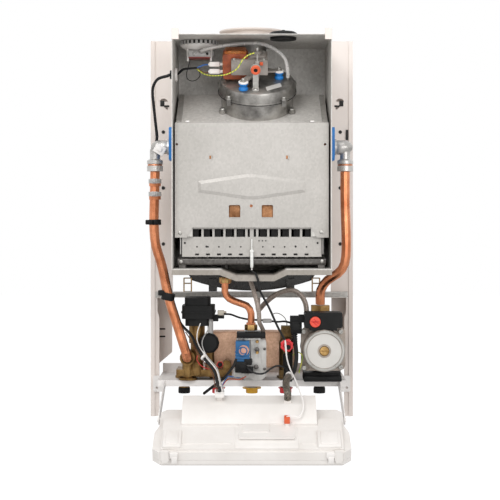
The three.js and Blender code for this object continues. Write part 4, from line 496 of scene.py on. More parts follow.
def lead(name, route, radius, finish, node=None, to_box=False, step=3.0, sides=12):
    """A hose, cable or wire swept along its route, hiding the CAD node it remakes; one that ends at the
    control box rides on no body.
    """
    line = curve_points(route, step)
    piece = placed(name, swept(name, line, radius, sides), finish, None if to_box else "base")
    if to_box:
        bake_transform(piece)
    if node:
        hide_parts(node)


# ---- hoses and cables

# The axes of the control box as it stands open.
BOX_FRAME = Matrix.Translation((0, -280, 27)) @ Matrix.Rotation(radians(110), 4, "X")


def box_point(x, y, z):
    """A point given in the control box's own axes, in millimetres from the foot."""
    return tuple(BOX_FRAME @ Vector((x, y, z)))


def socket_end(x, top, z):
    """The last two points of a cable that goes straight into a socket of the control box."""
    return [box_point(x, top + 11, z), box_point(x, top + 0.3, z)]


# The fan's joint starts at the foot of its housing and is tilted as the hood's slope is.
FAN_FOOT = Vector(JOINT["fan_spin"]["pos_m"]) / MM + Vector((0, 0, FOOT))
FAN_AXIS = Vector(JOINT["fan_spin"]["axis"])
FAN_ALONG = FAN_AXIS.cross(Vector((1, 0, 0)))


def fan_point(x, along, rise):
    """A point in the tilted fan's own axes, in millimetres."""
    return tuple(FAN_FOOT + Vector((x, 0, 0)) + FAN_ALONG * along + FAN_AXIS * rise)


MAIN_HARNESS = [(-147, -190, 654), (-156, -190, 650), (-173.9, -186, 644.6), (-182, -182, 633.8),
                (-184.7, -176, 621.4), (-182.8, -168, 592.2), (-179.8, -156, 557.5), (-178.4, -149, 539.1),
                (-181.5, -146, 515), (-181, -147, 480), (-181, -147, 440), (-181, -147, 379),
                (-178, -147, 335), (-167, -147, 290), (-155, -146, 245), (-148, -142, 211),
                (-132, -144, 185), (-114, -153, 167), (-104, -180, 151), (-90, -212, 133), (-69, -236, 110),
                (-63, -264, 96), (-60, -290, 89)]
IGNITION_LEAD = [(0, -255, 296.2), (0.2, -256, 291.5), (3, -270, 290), (7, -284, 287.5), (11, -287, 277),
                 (13, -282, 262), (31, -262, 226), (47, -245, 190), (55, -240, 175), (60, -238, 166),
                 (64, -238, 131), (69, -240, 115), (77, -280, 100), (86, -313, 78), (90, -330, 64),
                 (88, -339, 51), (80, -347, 44)]
PUMP_CABLE = [(79, -177.5, 182.2), (79.2, -178, 172), (82, -206, 130), (76, -228, 106), (66, -246, 100),
              (62, -268, 96), (61, -292, 89)]
VESSEL_HOSE = [(12, -31, 230.5), (12, -31, 222), (12, -48, 211), (14, -80, 209), (24, -104, 222),
               (42, -118, 238), (60, -124, 247), (78, -124, 249), (92, -122, 241), (102, -124, 224),
               (104, -125, 196), (104, -125, 178.4)]
VENT_HOSE = [(-3, -206, 283.5), (-3, -206, 274), (3, -214, 255), (9, -217, 234), (13, -217, 212),
             (14, -210, 196), (18, -194, 186), (21.3, -176, 176), (21.3, -174, 168), (21.3, -174, 161.5)]
SWITCH_TUBE = [(-93, -209.7, 693), (-92, -216, 693.4), (-80, -220, 697), (-38, -212, 704.5),
               (-4, -210, 707.5), (24, -210, 705), (48, -214, 692), (61, -219, 677), fan_point(56, 0, 67),
               fan_point(56, 0, 58.3)]

lead("harness_sheath", MAIN_HARNESS + socket_end(-57, 53, 6), 2.8, cable_sheath, node="main_harness",
     to_box=True)
placed("ignition_sleeve", swept("ignition_sleeve", curve_points(IGNITION_LEAD[1:10]), 2.1), cable_sheath)
lead("ignition_wire", IGNITION_LEAD + socket_end(61, 29, 60), 1.3, white_wire, node="ignition_lead",
     to_box=True)
lead("pump_cable_sheath", PUMP_CABLE + socket_end(63, 50, 16), 4.0, cable_sheath, node="pump_cable",
     to_box=True)
lead("switch_tube", SWITCH_TUBE, 3.5, silicone, node="pressure_tube")
lead("vessel_hose_braid", VESSEL_HOSE, 4.8, braid, node="vessel_hose")
lead("vent_hose_braid", VENT_HOSE, 4.1, braid, node="vent_hose")


def wire(name, route, radius, finish, to_box=False):
    """A thin wire between two fittings; one shorter than 35 mm always rides on the frame."""
    line = curve_points(route, 2.0)
    if run_length(line) < 0.035:
        placed(name, swept(name, line, radius, 8), finish)
    else:
        lead(name, route, radius, finish, to_box=to_box, step=2.0, sides=8)


wire("fan_cable", [(-142.5, -190, 652), (-136, -192, 654), (-126.9, -198, 660.7), (-113.8, -203, 662.4),
                   (-100.8, -205, 662.9)], 2.3, cable_sheath)
wire("fan_live_wire", [(-100.8, -205, 663.7), (-95.3, -205, 665.5), (-88, -204, 668.6),
                       (-79.5, -203, 669.4)], 1.0, blue_wire)
wire("fan_neutral_wire", [(-100.8, -205, 661.8), (-95.3, -205, 658.5), (-88, -204, 654.9),
                          (-79.5, -203, 654.7)], 1.0, brown_wire)
wire("fan_earth_wire", [(-100.7, -207, 660.1), (-85.5, -222, 649.4), (-66.6, -246, 644.4),
                        (-48.3, -255, 645.2), (-37.4, -258, 648.9), (-26.6, -261, 655.4),
                        (-20.3, -263, 664.9), (-15.8, -264, 672), (-9.5, -265, 677.6), (-2.5, -265, 681.2),
                        (5, -263, 683.6)], 1.1, earth_wire)
wire("switch_drop_wire", [(-114.1, -196, 677.9), (-116.6, -199, 667.3), (-120.2, -200, 652.4),
                          (-118.4, -200, 643.2), (-110.2, -200, 639.5), (-101, -201, 642.3),
                          (-95.4, -202, 649.6), (-96.5, -203, 656.9)], 0.8, cable_sheath)
wire("valve_cable", [(-29.1, -200, 127), (-32, -204, 118.2), (-40.1, -208, 105.8), (-50.9, -216, 94),
                     (-61.4, -236, 87.4), (-73.3, -262, 81.8), (-85, -288, 75.6)], 2.6, cable_sheath,
     to_box=True)
wire("valve_blue_wire", [(-14.5, -180, 95.1), (-23.8, -184, 91.1), (-34.8, -188, 93.1), (-44, -194, 94.2),
                         (-49.9, -210, 87.7), (-54.9, -236, 80.1), (-57.8, -266, 73.3)], 0.9, blue_wire,
     to_box=True)
wire("valve_orange_wire", [(-10.8, -182, 92.7), (-21.9, -186, 87.6), (-34.8, -190, 88.9),
                           (-43.9, -198, 89.1), (-52.7, -216, 81.2), (-57.6, -242, 75.5),
                           (-59.8, -270, 70.3)], 0.9, orange_grommet, to_box=True)
wire("flow_sensor_wire", [(-101.5, -170, 130.6), (-102.2, -172, 123), (-95.8, -174, 113.1),
                          (-82.9, -174, 106.1), (-71.4, -172, 105.8), (-62.4, -168, 113)], 0.9, red_wire)
wire("diverter_cable", [(-52.3, -150, 206.1), (-39.9, -149, 205.3), (-24.1, -148, 199.6),
                        (-5.3, -147, 195.7), (20.3, -146, 194.1)], 2.0, cable_sheath)
wire("link_cable", [(37.3, -146, 192.3), (48.6, -147, 191.2), (61.7, -152, 192.4), (74.6, -160, 190)], 2.0,
     cable_sheath)
wire("relief_lead", [(60.5, -182, 159.6), (62.1, -192, 146.5), (64.1, -202, 130.9), (71.1, -214, 109.3),
                     (77.3, -240, 95.9), (80.8, -274, 83.3)], 1.0, white_wire, to_box=True)
wire("pump_earth_wire", [(76, -186, 132.9), (86, -188, 138.1), (93.7, -190, 132), (92.9, -190, 122.2),
                         (90, -188, 110.9), (87.5, -186, 99.5)], 1.1, earth_wire)
wire("probe_loop", [(-10.7, -200, 114.1), (-2.6, -206, 106.3), (9.6, -207, 100.9), (23.5, -206, 101.9),
                    (34.6, -202, 109.2), (45.8, -198, 113.9), (56.9, -196, 112.5), (66.2, -192, 103.9)],
     1.7, cable_sheath)
wire("gauge_capillary", [(37.5, -130, 202.7), (43.9, -134, 206.4), (51.5, -136, 205.8), (61.7, -136, 198.6),
                         (66.1, -134, 188.2), (66.3, -132, 178.2)], 0.9, zinc)


# ---- chamber fittings

def grommet(name, base, axis, bore, outer, thick, finish):
    """A moulded ring that lines a hole in sheet metal."""
    ring = [(bore, 0), (bore + 0.6, thick), (outer - 1, thick), (outer, thick - 1.4), (outer, 0), (bore, 0)]
    spun(name, finish, ring, base, axis, 28)


grommet("harness_grommet", (-141.6, -190, 652), (1, 0, 0), 4.2, 12.5, 4, white_plastic)
grommet("harness_gland", (-143.4, -190, 652), (-1, 0, 0), 4.0, 8.5, 8, black_plastic)


def switch_assembly():
    """Air pressure switch: a two-part capsule under the ceiling, with its milky terminal housing."""
    x, y = -97, -180
    middle = (x, y, 705)
    teeth = 26
    crown = Shape()
    crown.turned([(0, 10.5), (30, 10.5), (33.4, 9.2), (34.6, 6), (34.6, 3.4), (0, 3.4)], middle, sides=48)
    for tooth in range(teeth):
        angle = 2 * pi * tooth / teeth
        spot = Matrix.Translation(middle) @ Matrix.Rotation(angle, 4, "Z")
        crown.block(34, 36.6, -2.2, 2.2, 1.2, 9.4, 0.5, 2, spot)
    crown.piece("switch_crown", milky)
    band = [(34.2, 1.6), (35.2, 1.6), (35.2, 9), (34.2, 9), (34.2, 1.6)]
    spun("switch_band", shadow_slot, band, middle, sides=48)
    dish = [(0, -9.5), (16, -9.5), (24, -7), (31, -3.2), (34, -0.4), (35.4, 0.8), (35.4, 2.6), (33, 3.2),
            (0, 3.2)]
    spun("switch_dish", white_plastic, dish, middle, sides=48, hides="pressure_switch")
    shell = Shape()
    shell.block(x - 20.5, x + 21.5, y - 22, y + 18, 683.6, 696.4, 2.2, 3)
    shell.block(x - 12, x + 14, y - 24.5, y - 20, 685.4, 692.6, 1.2, 2)
    shell.piece("switch_housing", milky)
    Shape().block(x - 20, x + 21, y - 21.4, y + 17.4, 682.4, 683.8, 0.6, 2).piece("switch_seal", brick_seal)
    arms = Shape()
    for left, right in ((-22.6, -19.2), (19.6, 23.6)):
        arms.block(x + left, x + right, y - 17, y - 6, 676.4, 700, 0.8, 2)
    arms.block(x - 26, x + 26, y + 16, y + 19, 690, 700, 0.8, 2)
    arms.piece("switch_bracket", white_plastic)
    shelf = Shape()
    shelf.block(x - 18, x + 18, y + 17, -64, 692, 695, 0.6, 1)
    shelf.block(x - 22, x + 22, -66, -63.6, 676, 697, 0.6, 1)
    shelf.piece("switch_shelf", galvanised)
    port = Shape()
    port.turned([(0, 0), (3.2, 0), (3.2, 7), (2.6, 9), (0, 9)], (-93, -200, 693), FORWARD, 18)
    port.turned([(0, 0), (2.2, 0), (2.2, 8), (0, 8)], (-82, -200, 689), FORWARD, 14)
    port.piece("switch_ports", black_plastic)


switch_assembly()


# ---- fan fittings

# A moulded cover over each push-on terminal of the motor, with its wire at the far end.
for name, z in (("live_boot", 669.4), ("neutral_boot", 656.2)):
    tip = Matrix.Translation((-51.1, -206, z))
    boot = Shape()
    boot.block(-27, -7.56, -4.6, 4.6, -4.6, 4.6, 1.4, 3, tip)
    boot.block(-10.8, 0, -2.53, 2.53, -2.852, 2.852, 1.2, 3, tip)
    boot.block(-29, -25, -2.2, 2.2, -2.2, 2.2, 0.8, 2, tip)
    boot.piece(name, white_plastic)

FAN_FRAME = Matrix.Translation(FAN_FOOT) @ Matrix((
    (1, 0, 0), tuple(FAN_ALONG), tuple(FAN_AXIS))).transposed().to_4x4()


def motor_details():
    """Winding, rivets, caps of the rubber feet, screws, blank label and earth tag, in the fan's axes."""
    coil = Shape(FAN_FRAME)
    coil.block(-59.4, -19.6, -12.6, 12.6, 58.8, 114, 4.5, 4)
    coil.block(-63.2, -18.4, -11.8, 11.8, 63, 105, 3.5, 3)
    coil.piece("motor_winding", winding)
    rivets = Shape(FAN_FRAME)
    for x, along in ((-42, -19), (-42, 19), (12, -19), (12, 19)):
        rivets.turned([(0, 99), (3.2, 99), (3.2, 101.4), (2.2, 102.6), (0, 102.6)], (x, along, 0), sides=18)
    rivets.turned([(0, 108), (3.4, 108), (3.4, 115), (2.8, 116), (0, 116)], (0, 0, 0), sides=20)
    for x, along in ((-25, -50), (40, 5), (-22, 46)):
        rivets.turned([(0, 71), (5.4, 71), (5.4, 72.6), (3.4, 72.6), (3.4, 75.4), (2.6, 76.2), (0, 76.2)],
                      (x, along, 0), sides=18)
    rivets.piece("motor_rivets", zinc)
    tops = Shape(FAN_FRAME)
    for x, along in ((-25, -50), (40, 5)):
        tops.turned([(0, 67.6), (8.9, 67.6), (8.9, 69.6), (8, 70.6), (0, 70.6)], (x, along, 0), sides=28)
    tops.piece("isolator_caps", white_plastic)
    screws = Shape(FAN_FRAME)
    for angle in (224, 312, 20, 90, 160):  # round the lid
        place = (71.7 * cos(radians(angle)), 71.7 * sin(radians(angle)), 37.4)
        screws.turned([(0, -1), (6.2, -1), (6.2, 0.8), (4.4, 0.8), (4.4, 4.2), (3.6, 5), (0, 5)], place,
                      sides=6)
    for angle in (205, 335, 90):  # in the feet
        place = (70 * cos(radians(angle)), 70 * sin(radians(angle)), 5.8)
        screws.turned([(0, 0), (5.4, 0), (5.4, 3.4), (4.6, 4.2), (0, 4.2)], place, sides=6)
    screws.screw((-3, -54, 56.2), (0, 0, 1), 4.0, 2.4)
    screws.piece("fan_screws", zinc)
    Shape(FAN_FRAME).plate([(14.9, -38), (17.4, -55), (44.4, -34.5), (42, -17.5)], 0.5,
                           Matrix.Translation((0, 0, 54))).piece("fan_label", blank_label)
    tag = Shape(FAN_FRAME)
    tag.block(-1.4, 1.4, -26.6, -24.4, 96, 112, 0.4, 1)
    tag.block(-3.5, 3.5, -27.6, -23.4, 94, 99, 0.8, 2)
    tag.piece("earth_tag", aluminised)
    Shape(FAN_FRAME).block(4.6, 10.4, -28.4, -25, 92, 98, 0.8, 2).piece("earth_spade", orange_grommet)


motor_details()

TEST_PORT = (-3, -49.4, 91.8)
spun("port_grommet", orange_grommet, [(3.6, -2.4), (4.6, -3), (7.6, -3), (8.8, -1.6), (8.8, 1.6), (7.6, 3),
                                      (4.6, 3), (3.6, 2.4), (3.6, -2.4)], TEST_PORT, FORWARD, 36,
     axes=FAN_FRAME)
spun("fan_seam", shadow_slot, [(70.6, 30.5), (72.1, 30.5), (72.1, 31.5), (70.6, 31.5), (70.6, 30.5)],
     (0, 0, 0), sides=72, axes=FAN_FRAME)
spun("port_plug", black_plastic, [(0, -2), (4.4, -2), (4.4, 2), (0, 2)], TEST_PORT, FORWARD, 28,
     axes=FAN_FRAME)

# ---- panel, hood and elbows

panel_fittings = Shape()
for place in ((-129.3, -256.4, 360.2), (125.5, -256.4, 362), (-128, -246.4, 308.5), (127, -246.4, 309.4)):
    panel_fittings.screw(place, FORWARD, 3.6, 2.6)
panel_fittings.piece("panel_screws", zinc)

APRON_FACE = -247.7
# Dark discs of painted shade stand for the small holes in the burner's apron.
apron_hole_shadows = Shape()
for x, z in ((-120.9, 342), (-82.1, 335.5), (79.2, 335.8), (118.9, 342)):
    apron_hole_shadows.turned([(0, 0), (1.9, 0), (1.9, 0.3), (0, 0.3)], (x, APRON_FACE, z), FORWARD, 16)
for x in (13, 19.2, 25.3):
    apron_hole_shadows.turned([(0, 0), (1.2, 0), (1.2, 0.3), (0, 0.3)], (x, APRON_FACE, 345.9), FORWARD, 16)
apron_hole_shadows.piece("apron_hole_shadows", shadow_slot)

window_copper = Shape()
window_sills = Shape()
for x in (-31, 28):
    window_copper.block(x - 9.8, x + 9.8, -250.6, -249.8, 388, 410.2, 0.2, 1)
    window_sills.block(x - 9.6, x + 9.6, -256.9, -253, 386.9, 388.6, 0.4, 1)
for x in (-73, 65):
    window_copper.block(x - 3.4, x, -257.2, -255.6, 493.6, 499.6, 0.3, 1)
    window_sills.block(x, x + 2.2, -257.8, -255.6, 492.6, 500.6, 0.4, 1)
window_copper.piece("window_copper", baked_copper)
window_sills.piece("window_sills", aluminised)

HOOD_SLOPE = Matrix.Translation((0, -135, 620)) @ Matrix.Rotation(radians(26.9), 4, "X")
# Two dark strips on the hood's slope: painted shade along its side folds.
hood_fold_shades = Shape()
for side in (-1, 1):
    hood_fold_shades.block(*sorted((side * 136, side * 127)), -131, -3, -0.4, 1.6, 0.5, 1, HOOD_SLOPE)
hood_fold_shades.piece("hood_fold_shades", shaded_fold_steel)

hood_clips = Shape()
for x in (-116, 109):
    hood_clips.block(x - 3.4, x + 3.4, -257.4, -250, 559.6, 562.6, 0.8, 2)
hood_clips.piece("hood_clips", white_plastic)

spun("elbow_bulb", plated_casting, [(0, 0), (8, 0), (11.4, 2.6), (13.2, 7), (13.6, 12.5), (12.8, 18.5),
                                    (10.2, 24.5), (6, 29), (0, 31)], (154.6, -165, 518), (1, 0, 0), 40)

CLIP_FRAME = Matrix.Translation((-171, -183, 514)) @ Matrix.Rotation(radians(30), 4, "Y")
elbow_clip = Shape()
elbow_clip.block(-10.4, 10.4, -2.2, 2.2, -8.6, 8.6, 1.0, 2, CLIP_FRAME)
elbow_clip.block(-4.2, 4.2, -5.2, -2, -3.6, 3.6, 1.0, 2, CLIP_FRAME)
elbow_clip.piece("elbow_clip", white_plastic)

washers = Shape()
for x in (-181, 174.5):
    washers.turned([(10, 0), (13.6, 0), (13.9, 1), (13.6, 2), (10, 2), (10, 0)], (x, -165, 484.6), sides=36)
washers.piece("union_washers", copper)


def pipe_sensor(name, z):
    """A clip-on temperature probe on the flow pipe."""
    made = Shape()
    x, y = -181, -165
    made.turned([(9.6, -4), (12, -4), (12, 4), (9.6, 4), (9.6, -4)], (x, y, z), sides=32)
    made.block(x - 6, x + 6, y - 17, y - 10, z - 4.6, z + 4.6, 1.2, 2)
    made.turned([(0, 0), (3.4, 0), (3.4, 5), (2.4, 6), (0, 6)], (x, y - 16, z), FORWARD, 18)
    made.piece(name, milky)


pipe_sensor("upper_pipe_sensor", 455.5)
pipe_sensor("lower_pipe_sensor", 431.5)

pipe_clips = Shape()
pipe_clips.turned([(9.2, -5), (11.2, -5), (11.6, -4), (11.6, 4), (11.2, 5), (9.2, 5), (9.2, -5)],
                  (-181, -165, 379), sides=32)
pipe_clips.block(-197.6, -184, -183, -172, 374.6, 383.4, 1.6, 2)
pipe_clips.block(-186, -176, -157, -143, 374.6, 383.4, 1.6, 2)
pipe_clips.turned([(9.2, -7), (12, -7), (12.4, -6), (12.4, 6), (12, 7), (9.2, 7), (9.2, -7)],
                  (-156.4, -165, 240), (0.2, 0, 1), 32)
pipe_clips.block(-175, -160, -172, -160, 242, 252, 1.6, 2)
pipe_clips.piece("pipe_clips", black_plastic)

gas_nuts = Shape()
gas_nuts.turned([(6.7, 265.4), (10.4, 265.4), (11.2, 266.4), (11.2, 275.4), (10.4, 276.4), (6.7, 276.4),
                 (6.7, 265.4)], (-49.5, -168, 0), sides=6)
gas_nuts.turned([(6.7, 177), (11.2, 177), (12, 178), (12, 187), (11.2, 188), (6.7, 188), (6.7, 177)],
                (-1.5, -168, 0), sides=6)
gas_nuts.piece("gas_nuts", brass)

# ---- lower fittings

spun("flow_sensor_tube", milky, [(0, 0), (5, 0), (5.4, 2), (5.4, 26), (4.4, 30), (2.4, 32), (0, 32)],
     (-77.9, -150, 167.4), (0, 0, 1), 28)

diverter_parts = Shape()
diverter_parts.block(-64.5, -52, -147, -139, 203, 212.6, 1.0, 2)
diverter_parts.block(-53, -48, -145.4, -140.6, 204.6, 210.8, 0.8, 2)
diverter_parts.piece("diverter_connector", beige_plastic)

spun("return_probe", black_plastic, [(0, 0), (4.6, 0), (4.6, 5), (3.4, 6), (3.4, 10), (2, 11), (0, 11)],
     (-59.4, -166, 112.8), (0, -1, 0.2), 20)
spun("return_probe_seat", red_plastic, [(0, 0), (6.4, 0), (6.4, 3), (0, 3)], (-59.6, -160, 112.1),
     (0, -1, 0.2), 6)

spun("modulator_cap", peach_cap, [(0, 0), (9.6, 0), (9.8, 2), (9, 3.4), (7.4, 3.6), (7, 2.8), (5.6, 2.8),
                                  (5, 4.2), (0, 4.6)], (-14.9, -198, 142.8), FORWARD, 40)
valve_cover = Shape()
valve_cover.block(-28, 25.5, -186, -152, 164, 174.4, 1.4, 2)
valve_cover.block(-14, 1, -202, -186.4, 116, 127, 1.4, 2)
valve_cover.block(-24, -12, -206, -199.6, 108, 118, 1.2, 2)
valve_cover.block(-31, -10, -204, -186, 102, 122, 1.6, 2)
valve_cover.block(-20, 3, -198, -186, 100, 112, 1.4, 2)
valve_cover.piece("valve_cover", black_plastic)
valve_screws = Shape()
for place, radius in (((9.6, -187.6, 143.2), 4.4), ((8.3, -187.6, 110.8), 4.4), ((23.8, -184, 143.8), 2.6),
                      ((23.8, -184, 106.7), 2.6)):
    valve_screws.screw(place, FORWARD, radius, 2.2)
valve_screws.piece("valve_screws", dark_steel, slot="galvanised")
valve_ribs = Shape()
for z in (128, 134, 140):
    valve_ribs.block(-31, -3.5, -199.6, -196, z - 1.4, z + 1.4, 0.8, 2)
valve_ribs.piece("modulator_ribs", blue_plastic)
taps = Shape()
for z in (158, 138):
    taps.turned([(0, 0), (3.2, 0), (3.2, 2), (2.4, 3), (2.4, 9), (0, 9)], (10, -187, z), FORWARD, 20)
taps.piece("test_taps", brass)

Shape().block(57.5, 76, -140, -120, 160, 176.5, 1.2, 2).piece("relief_housing", beige_plastic)
spun("relief_sleeve", black_plastic, [(0, 84), (8.4, 84), (8.4, 96), (7.4, 97), (7.4, 112), (8.8, 113),
                                      (8.8, 134), (7.6, 135.4), (0, 135.4)], (66.5, -184, 0), sides=28)
spun("relief_core", brass, [(0, 0), (5, 0), (5, 3), (3.6, 4), (0, 4)], (67, -139.6, 168), FORWARD, 24)
spun("relief_hub", black_plastic, [(0, 0), (4.6, 0), (4.6, 1.4), (3.6, 2.2), (0, 2.2)],
     (67.3, -190.6, 147.6), FORWARD, 24, body="relief_knob")

Shape().block(20.2, 37.4, -150, -142, 189.2, 197, 1.4, 2).piece("inline_connector", milky)

# Dark plates of painted shade stand for the round holes, the hooks and the slots of the uprights.
shadows = Shape()
for side in (-1, 1):
    for z in (553.9, 444.8, 335.6):
        shadows.turned([(0, 0), (3.4, 0), (3.4, 0.8), (0, 0.8)], (side * 172.5, -57.2, z), FORWARD, 20)
    shadows.block(side * 174.5 - 4, side * 174.5 + 4, -58.2, -57.4, 604, 615, 1.6, 2)
    shadows.block(side * 166 - 5, side * 166 + 5, -58.2, -57.4, 602.6, 606, 0.4, 1)
    for z in (150, 165):
        shadows.block(side * 178 - 9, side * 178 + 9, 0.1, 0.8, z - 3, z + 3, 0.2, 1)
shadows.block(183, 188, -60.5, -60, 538, 558, 0.2, 1)
shadows.piece("upright_shadows", shadow_slot)

spun("collar_lip", cream_paint, [(47, 731.2), (50.4, 731.2), (50.4, 735), (61, 737), (61.6, 738),
                                 (61.6, 740), (47, 740), (47, 731.2)], (0, -128, 0), sides=64)

ladders = Shape()
for side in (-1, 1):
    for x in (side * 125 - 7.2, side * 125 + 7.2):
        ladders.tube([(x, -59, 243), (x, -59, 269.2)], 1.3, 10)
    for z in (259, 269.2):
        ladders.tube([(side * 125 - 7.2, -59, z), (side * 125 + 7.2, -59, z)], 1.3, 10)
ladders.piece("vessel_clips", gold_wire)


def beside(route, dx, dy, dz):
    """The same route, moved sideways by a few millimetres."""
    return [(x + dx, y + dy, z + dz) for x, y, z in route]


BOX_RUN = MAIN_HARNESS[19:]  # the harness's last stretch, down into the control box
WHITE_RUN = [(-96, -164, 190), (-101, -166, 176), (-102, -172, 160)] + beside(BOX_RUN, 4.2, -1, 2)
GREY_RUN = [(-76, -165, 192), (-82, -168, 178), (-92, -184, 158)] + beside(BOX_RUN, 5.4, 3, 4)
BROWN_RUN = beside([(-120, -149, 174), (-112, -158, 163)] + MAIN_HARNESS[18:], -4.4, -1, -2)
wire("harness_white_wire", WHITE_RUN + socket_end(-52.6, 53, 6), 1.1, white_wire, to_box=True)
wire("harness_grey_wire", GREY_RUN + socket_end(-49.6, 53, 6), 1.0, milky, to_box=True)
wire("harness_brown_wire", BROWN_RUN + socket_end(-61.6, 53, 6), 1.0, brown_wire, to_box=True)
spun("harness_tie", white_plastic, [(3.4, -2), (6.6, -2), (6.6, 2), (3.4, 2), (3.4, -2)], (-87, -215, 131),
     (0.55, -0.62, -0.56), 24)

braid_line = curve_points(PUMP_CABLE[4:] + socket_end(63, 50, 16))
cable_sleeve = placed("pump_cable_braid", swept("pump_cable_braid", braid_line, 6.4, 20), dark_braid, None)
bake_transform(cable_sleeve)
spun("cable_tie", white_plastic, [(4.2, -1.6), (7.4, -1.6), (7.4, 1.6), (4.2, 1.6), (4.2, -1.6)],
     (68, -243, 101.6), (0.45, 0.8, 0.3), 24)

# ---- pump

CAP_SCREW = [(2.2, 0), (4.2, 0), (4.2, 3.4), (3.8, 4), (2.4, 4), (2.2, 1.6), (0, 1.6)]
terminal_screws = Shape()
for x, z in ((96.3, 175.6), (165.3, 175.6), (97.6, 108.8), (165.3, 109.4)):
    terminal_screws.turned(CAP_SCREW, (x, -178.6, z), FORWARD, 24)
terminal_screws.piece("pump_cap_screws", zinc)
PUMP_FACE = (133, -212.9, 143)
spun("pump_face_ring", zinc, [(32, -0.2), (37.6, -0.2), (37.6, 1), (36.4, 2), (33.2, 2), (32, 1),
                              (32, -0.2)], PUMP_FACE, FORWARD, 64, slot="pump_casting")
spun("pump_label", blank_label, [(12.4, 0), (31.4, 0), (31.4, 0.5), (12.4, 0.5), (12.4, 0)], PUMP_FACE,
     FORWARD, 64)
plug_ribs = Shape()
for z in (158, 162, 166, 170):
    plug_ribs.turned([(0, -1.2), (5.6, -1.2), (6, 0), (5.6, 1.2), (0, 1.2)], (79.2, -178, z), sides=24)
plug_ribs.block(72, 93, -186, -168, 172, 196, 2.0, 3)
plug_ribs.block(75, 91, -188, -184, 176, 192, 1.2, 2)
plug_ribs.piece("pump_plug", black_plastic)
KNOB_FACE = Matrix.Translation((116.5, -212.6, 196)) @ Matrix.Rotation(radians(45), 4, "Y")
marks = Shape()
for z in (-2.2, 2.2):
    marks.block(-6, 6, -0.4, 0.5, z - 0.7, z + 0.7, 0.2, 1, KNOB_FACE)
marks.piece("speed_knob_marks", red_plastic, "pump_speed_knob")
Shape().block(97, 168, -170, -110, 81, 92, 2.0, 3).piece("pump_foot", black_plastic)

# ---- transit caps of the tails

for side, x, finish, rim in (("left_outer", -130, black_plastic, 11), ("left", -65, red_plastic, 14),
                             ("middle", 0, yellow_cap, 18), ("right", 65, red_plastic, 14),
                             ("right_outer", 130, black_plastic, 11)):
    cap = [(0, 50), (10.6, 50), (11.4, 51), (11.4, 58.6), (rim, 59), (rim, 61), (10.3, 61), (10.3, 51.7),
           (0, 51.7)]
    spun("tail_cap_" + side, finish, cap, (x, -92, 0), sides=36)

# ---- control box

harness_socket = Shape(BOX_FRAME)
for row in range(4):
    harness_socket.block(-65.5, -48.5, 52.6, 60, -3.2 + 5 * row, 0.4 + 5 * row, 0.6, 2)
harness_socket.block(-64, -50, 52.4, 57, -4.4, 16.4, 0.8, 2)
harness_socket.piece("harness_connector", white_plastic, "control_box")
ignition_socket = Shape(BOX_FRAME).block(56, 66, 28.6, 40, 54, 66, 1.0, 2)
ignition_socket.piece("ignition_connector", orange_grommet, "control_box")

BOX_SLOPE = Matrix.Translation((0, 22, 66)) @ Matrix.Rotation(radians(7.72), 4, "X")
box_moulding = Shape(BOX_FRAME)
box_moulding.block(-28.5, 79.6, -1, 1.7, 2, 60, 0.8, 2, BOX_SLOPE)
box_moulding.block(-24.5, 75.6, 0, 2.4, 6, 22, 0.6, 2, BOX_SLOPE)
for left, right in ((-152, -120), (112, 152)):
    box_moulding.block(left, right, -2, 4.5, 12, 58, 2.0, 3, BOX_SLOPE)
    box_moulding.block(left + 5, right - 5, 2, 6.2, 18, 52, 1.6, 3, BOX_SLOPE)
box_moulding.block(-118, -34, -1, 1.4, 44, 47, 0.5, 1, BOX_SLOPE)
box_moulding.block(84, 108, -1, 1.4, 44, 47, 0.5, 1, BOX_SLOPE)
box_moulding.piece("box_moulding", box_plastic, "control_box")
box_hooks = Shape(BOX_FRAME)
for x in (-132, 133):
    box_hooks.block(x - 7, x + 7, 1, 11, 128, 135.5, 1.0, 2)
    box_hooks.block(x - 4, x + 6, -9, 4, 131, 136.5, 1.2, 2)
box_hooks.piece("box_hooks", white_plastic, "control_box")

# ---- CAD nodes

OWN_FINISH = {"fan_housing": fan_casting, "elbow_left": plated_casting, "elbow_right": plated_casting,
              "gas_valve": valve_casting, "casing_tab_left": cream_paint, "casing_tab_right": cream_paint,
              "sealed_chamber": painted_light_chamber_steel, "flue_hood": painted_light_hood_steel, "relief_valve": dark_brass,
              "hydraulic_block": worn_brass, "burner": shaded_burner_steel}
REMADE_NODES = {"main_harness", "ignition_lead", "pump_cable", "pressure_tube", "vessel_hose", "vent_hose",
                "pressure_switch"}
SHEET_NODES = {"combustion_front", "combustion_casing", "sealed_chamber", "flue_hood", "upright_left",
               "upright_right", "bottom_tray", "hanging_rail", "cross_rail"}
PLAIN_NODES = {"burner_apron", "burner", "burner_rail", "heat_exchanger", "fan_rotor"}
for node, holder in frame["nodes"].items():
    if node in PLAIN_NODES:
        holder.data.materials.clear()
        holder.data.materials.append((OWN_FINISH.get(node) or FINISH[SLOT_OF[node]]).material)
    elif node in SHEET_NODES:
        dressed(node, 0, 12)
    elif node not in REMADE_NODES:
        dressed(node)

# ---- room and light

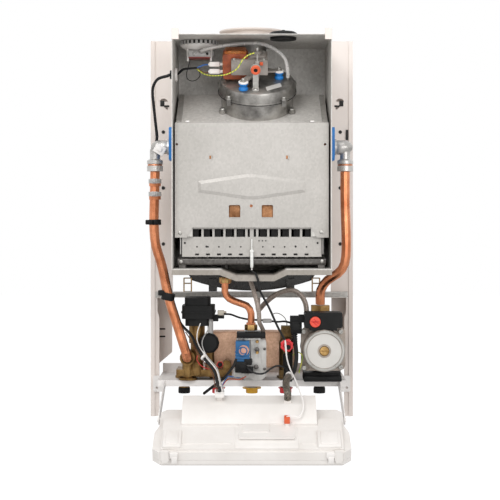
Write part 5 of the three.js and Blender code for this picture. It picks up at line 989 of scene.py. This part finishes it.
# The room is white to the eye, to mirrors and through clear plastic, and lights the boiler a little less.
world = bpy.data.worlds.new("room")
bpy.context.scene.world = world
world.use_nodes = True
sky, sky_links = world.node_tree.nodes, world.node_tree.links
backdrop = sky["Background"]
backdrop.inputs["Color"].default_value = (1, 1, 1, 1)
rays = sky.new("ShaderNodeLightPath")
straight, clear = sky.new("ShaderNodeMath"), sky.new("ShaderNodeMath")
straight.operation = clear.operation = "MAXIMUM"
sky_links.new(rays.outputs["Is Camera Ray"], straight.inputs[0])
sky_links.new(rays.outputs["Is Glossy Ray"], straight.inputs[1])
sky_links.new(straight.outputs[0], clear.inputs[0])
sky_links.new(rays.outputs["Is Transmission Ray"], clear.inputs[1])
level = sky.new("ShaderNodeMapRange")
level.inputs["To Min"].default_value = 0.71
level.inputs["To Max"].default_value = 1.0
sky_links.new(clear.outputs[0], level.inputs["Value"])
sky_links.new(level.outputs["Result"], backdrop.inputs["Strength"])


def softbox(name, place, target, size, power):
    """A square lamp turned to its target; places and size in metres, power in watts."""
    lamp = bpy.data.lights.new(name, "AREA")
    lamp.shape = "SQUARE"
    lamp.size = size
    lamp.energy = power
    holder = bpy.data.objects.new(name, lamp)
    holder.location = place
    way = Vector(target) - Vector(place)
    holder.rotation_euler = way.to_track_quat("-Z", "Y").to_euler()
    bpy.context.collection.objects.link(holder)


MIDDLE, UPPER_HALF = (0, -0.15, -0.3), (0, -0.15, -0.2)
softbox("key", (-0.7, -2.25, 0.95), MIDDLE, 0.9, 22)
softbox("fill", (0.9, -2.4, -0.05), UPPER_HALF, 1.2, 13)
softbox("top", (0.1, -1.1, 1.4), MIDDLE, 1.0, 6)

# The floor glows nearly white to the camera and is matt grey to all other rays.
floor_shape = bmesh.new()
bmesh.ops.create_grid(floor_shape, x_segments=1, y_segments=1, size=6)
bmesh.ops.translate(floor_shape, verts=floor_shape.verts, vec=(0, 0, -0.86))
floor_mesh = bpy.data.meshes.new("floor")
floor_shape.to_mesh(floor_mesh)
floor_shape.free()
floor = bpy.data.objects.new("floor", floor_mesh)
bpy.context.collection.objects.link(floor)
pale = bpy.data.materials.new("pale_floor")
pale.use_nodes = True
pale_nodes, pale_links = pale.node_tree.nodes, pale.node_tree.links
matt = pale_nodes["Principled BSDF"]
matt.inputs["Base Color"].default_value = (0.74, 0.74, 0.74, 1)
matt.inputs["Roughness"].default_value = 0.9
glow = pale_nodes.new("ShaderNodeEmission")
glow.inputs["Strength"].default_value = 1.22
blend = pale_nodes.new("ShaderNodeMixShader")
eye = pale_nodes.new("ShaderNodeLightPath")
share = pale_nodes.new("ShaderNodeMath")
share.operation = "MULTIPLY"
share.inputs[1].default_value = 0.75
pale_links.new(eye.outputs["Is Camera Ray"], share.inputs[0])
pale_links.new(share.outputs[0], blend.inputs["Fac"])
pale_links.new(matt.outputs[0], blend.inputs[1])
pale_links.new(glow.outputs[0], blend.inputs[2])
pale_links.new(blend.outputs[0], pale_nodes["Material Output"].inputs["Surface"])
floor_mesh.materials.append(pale)
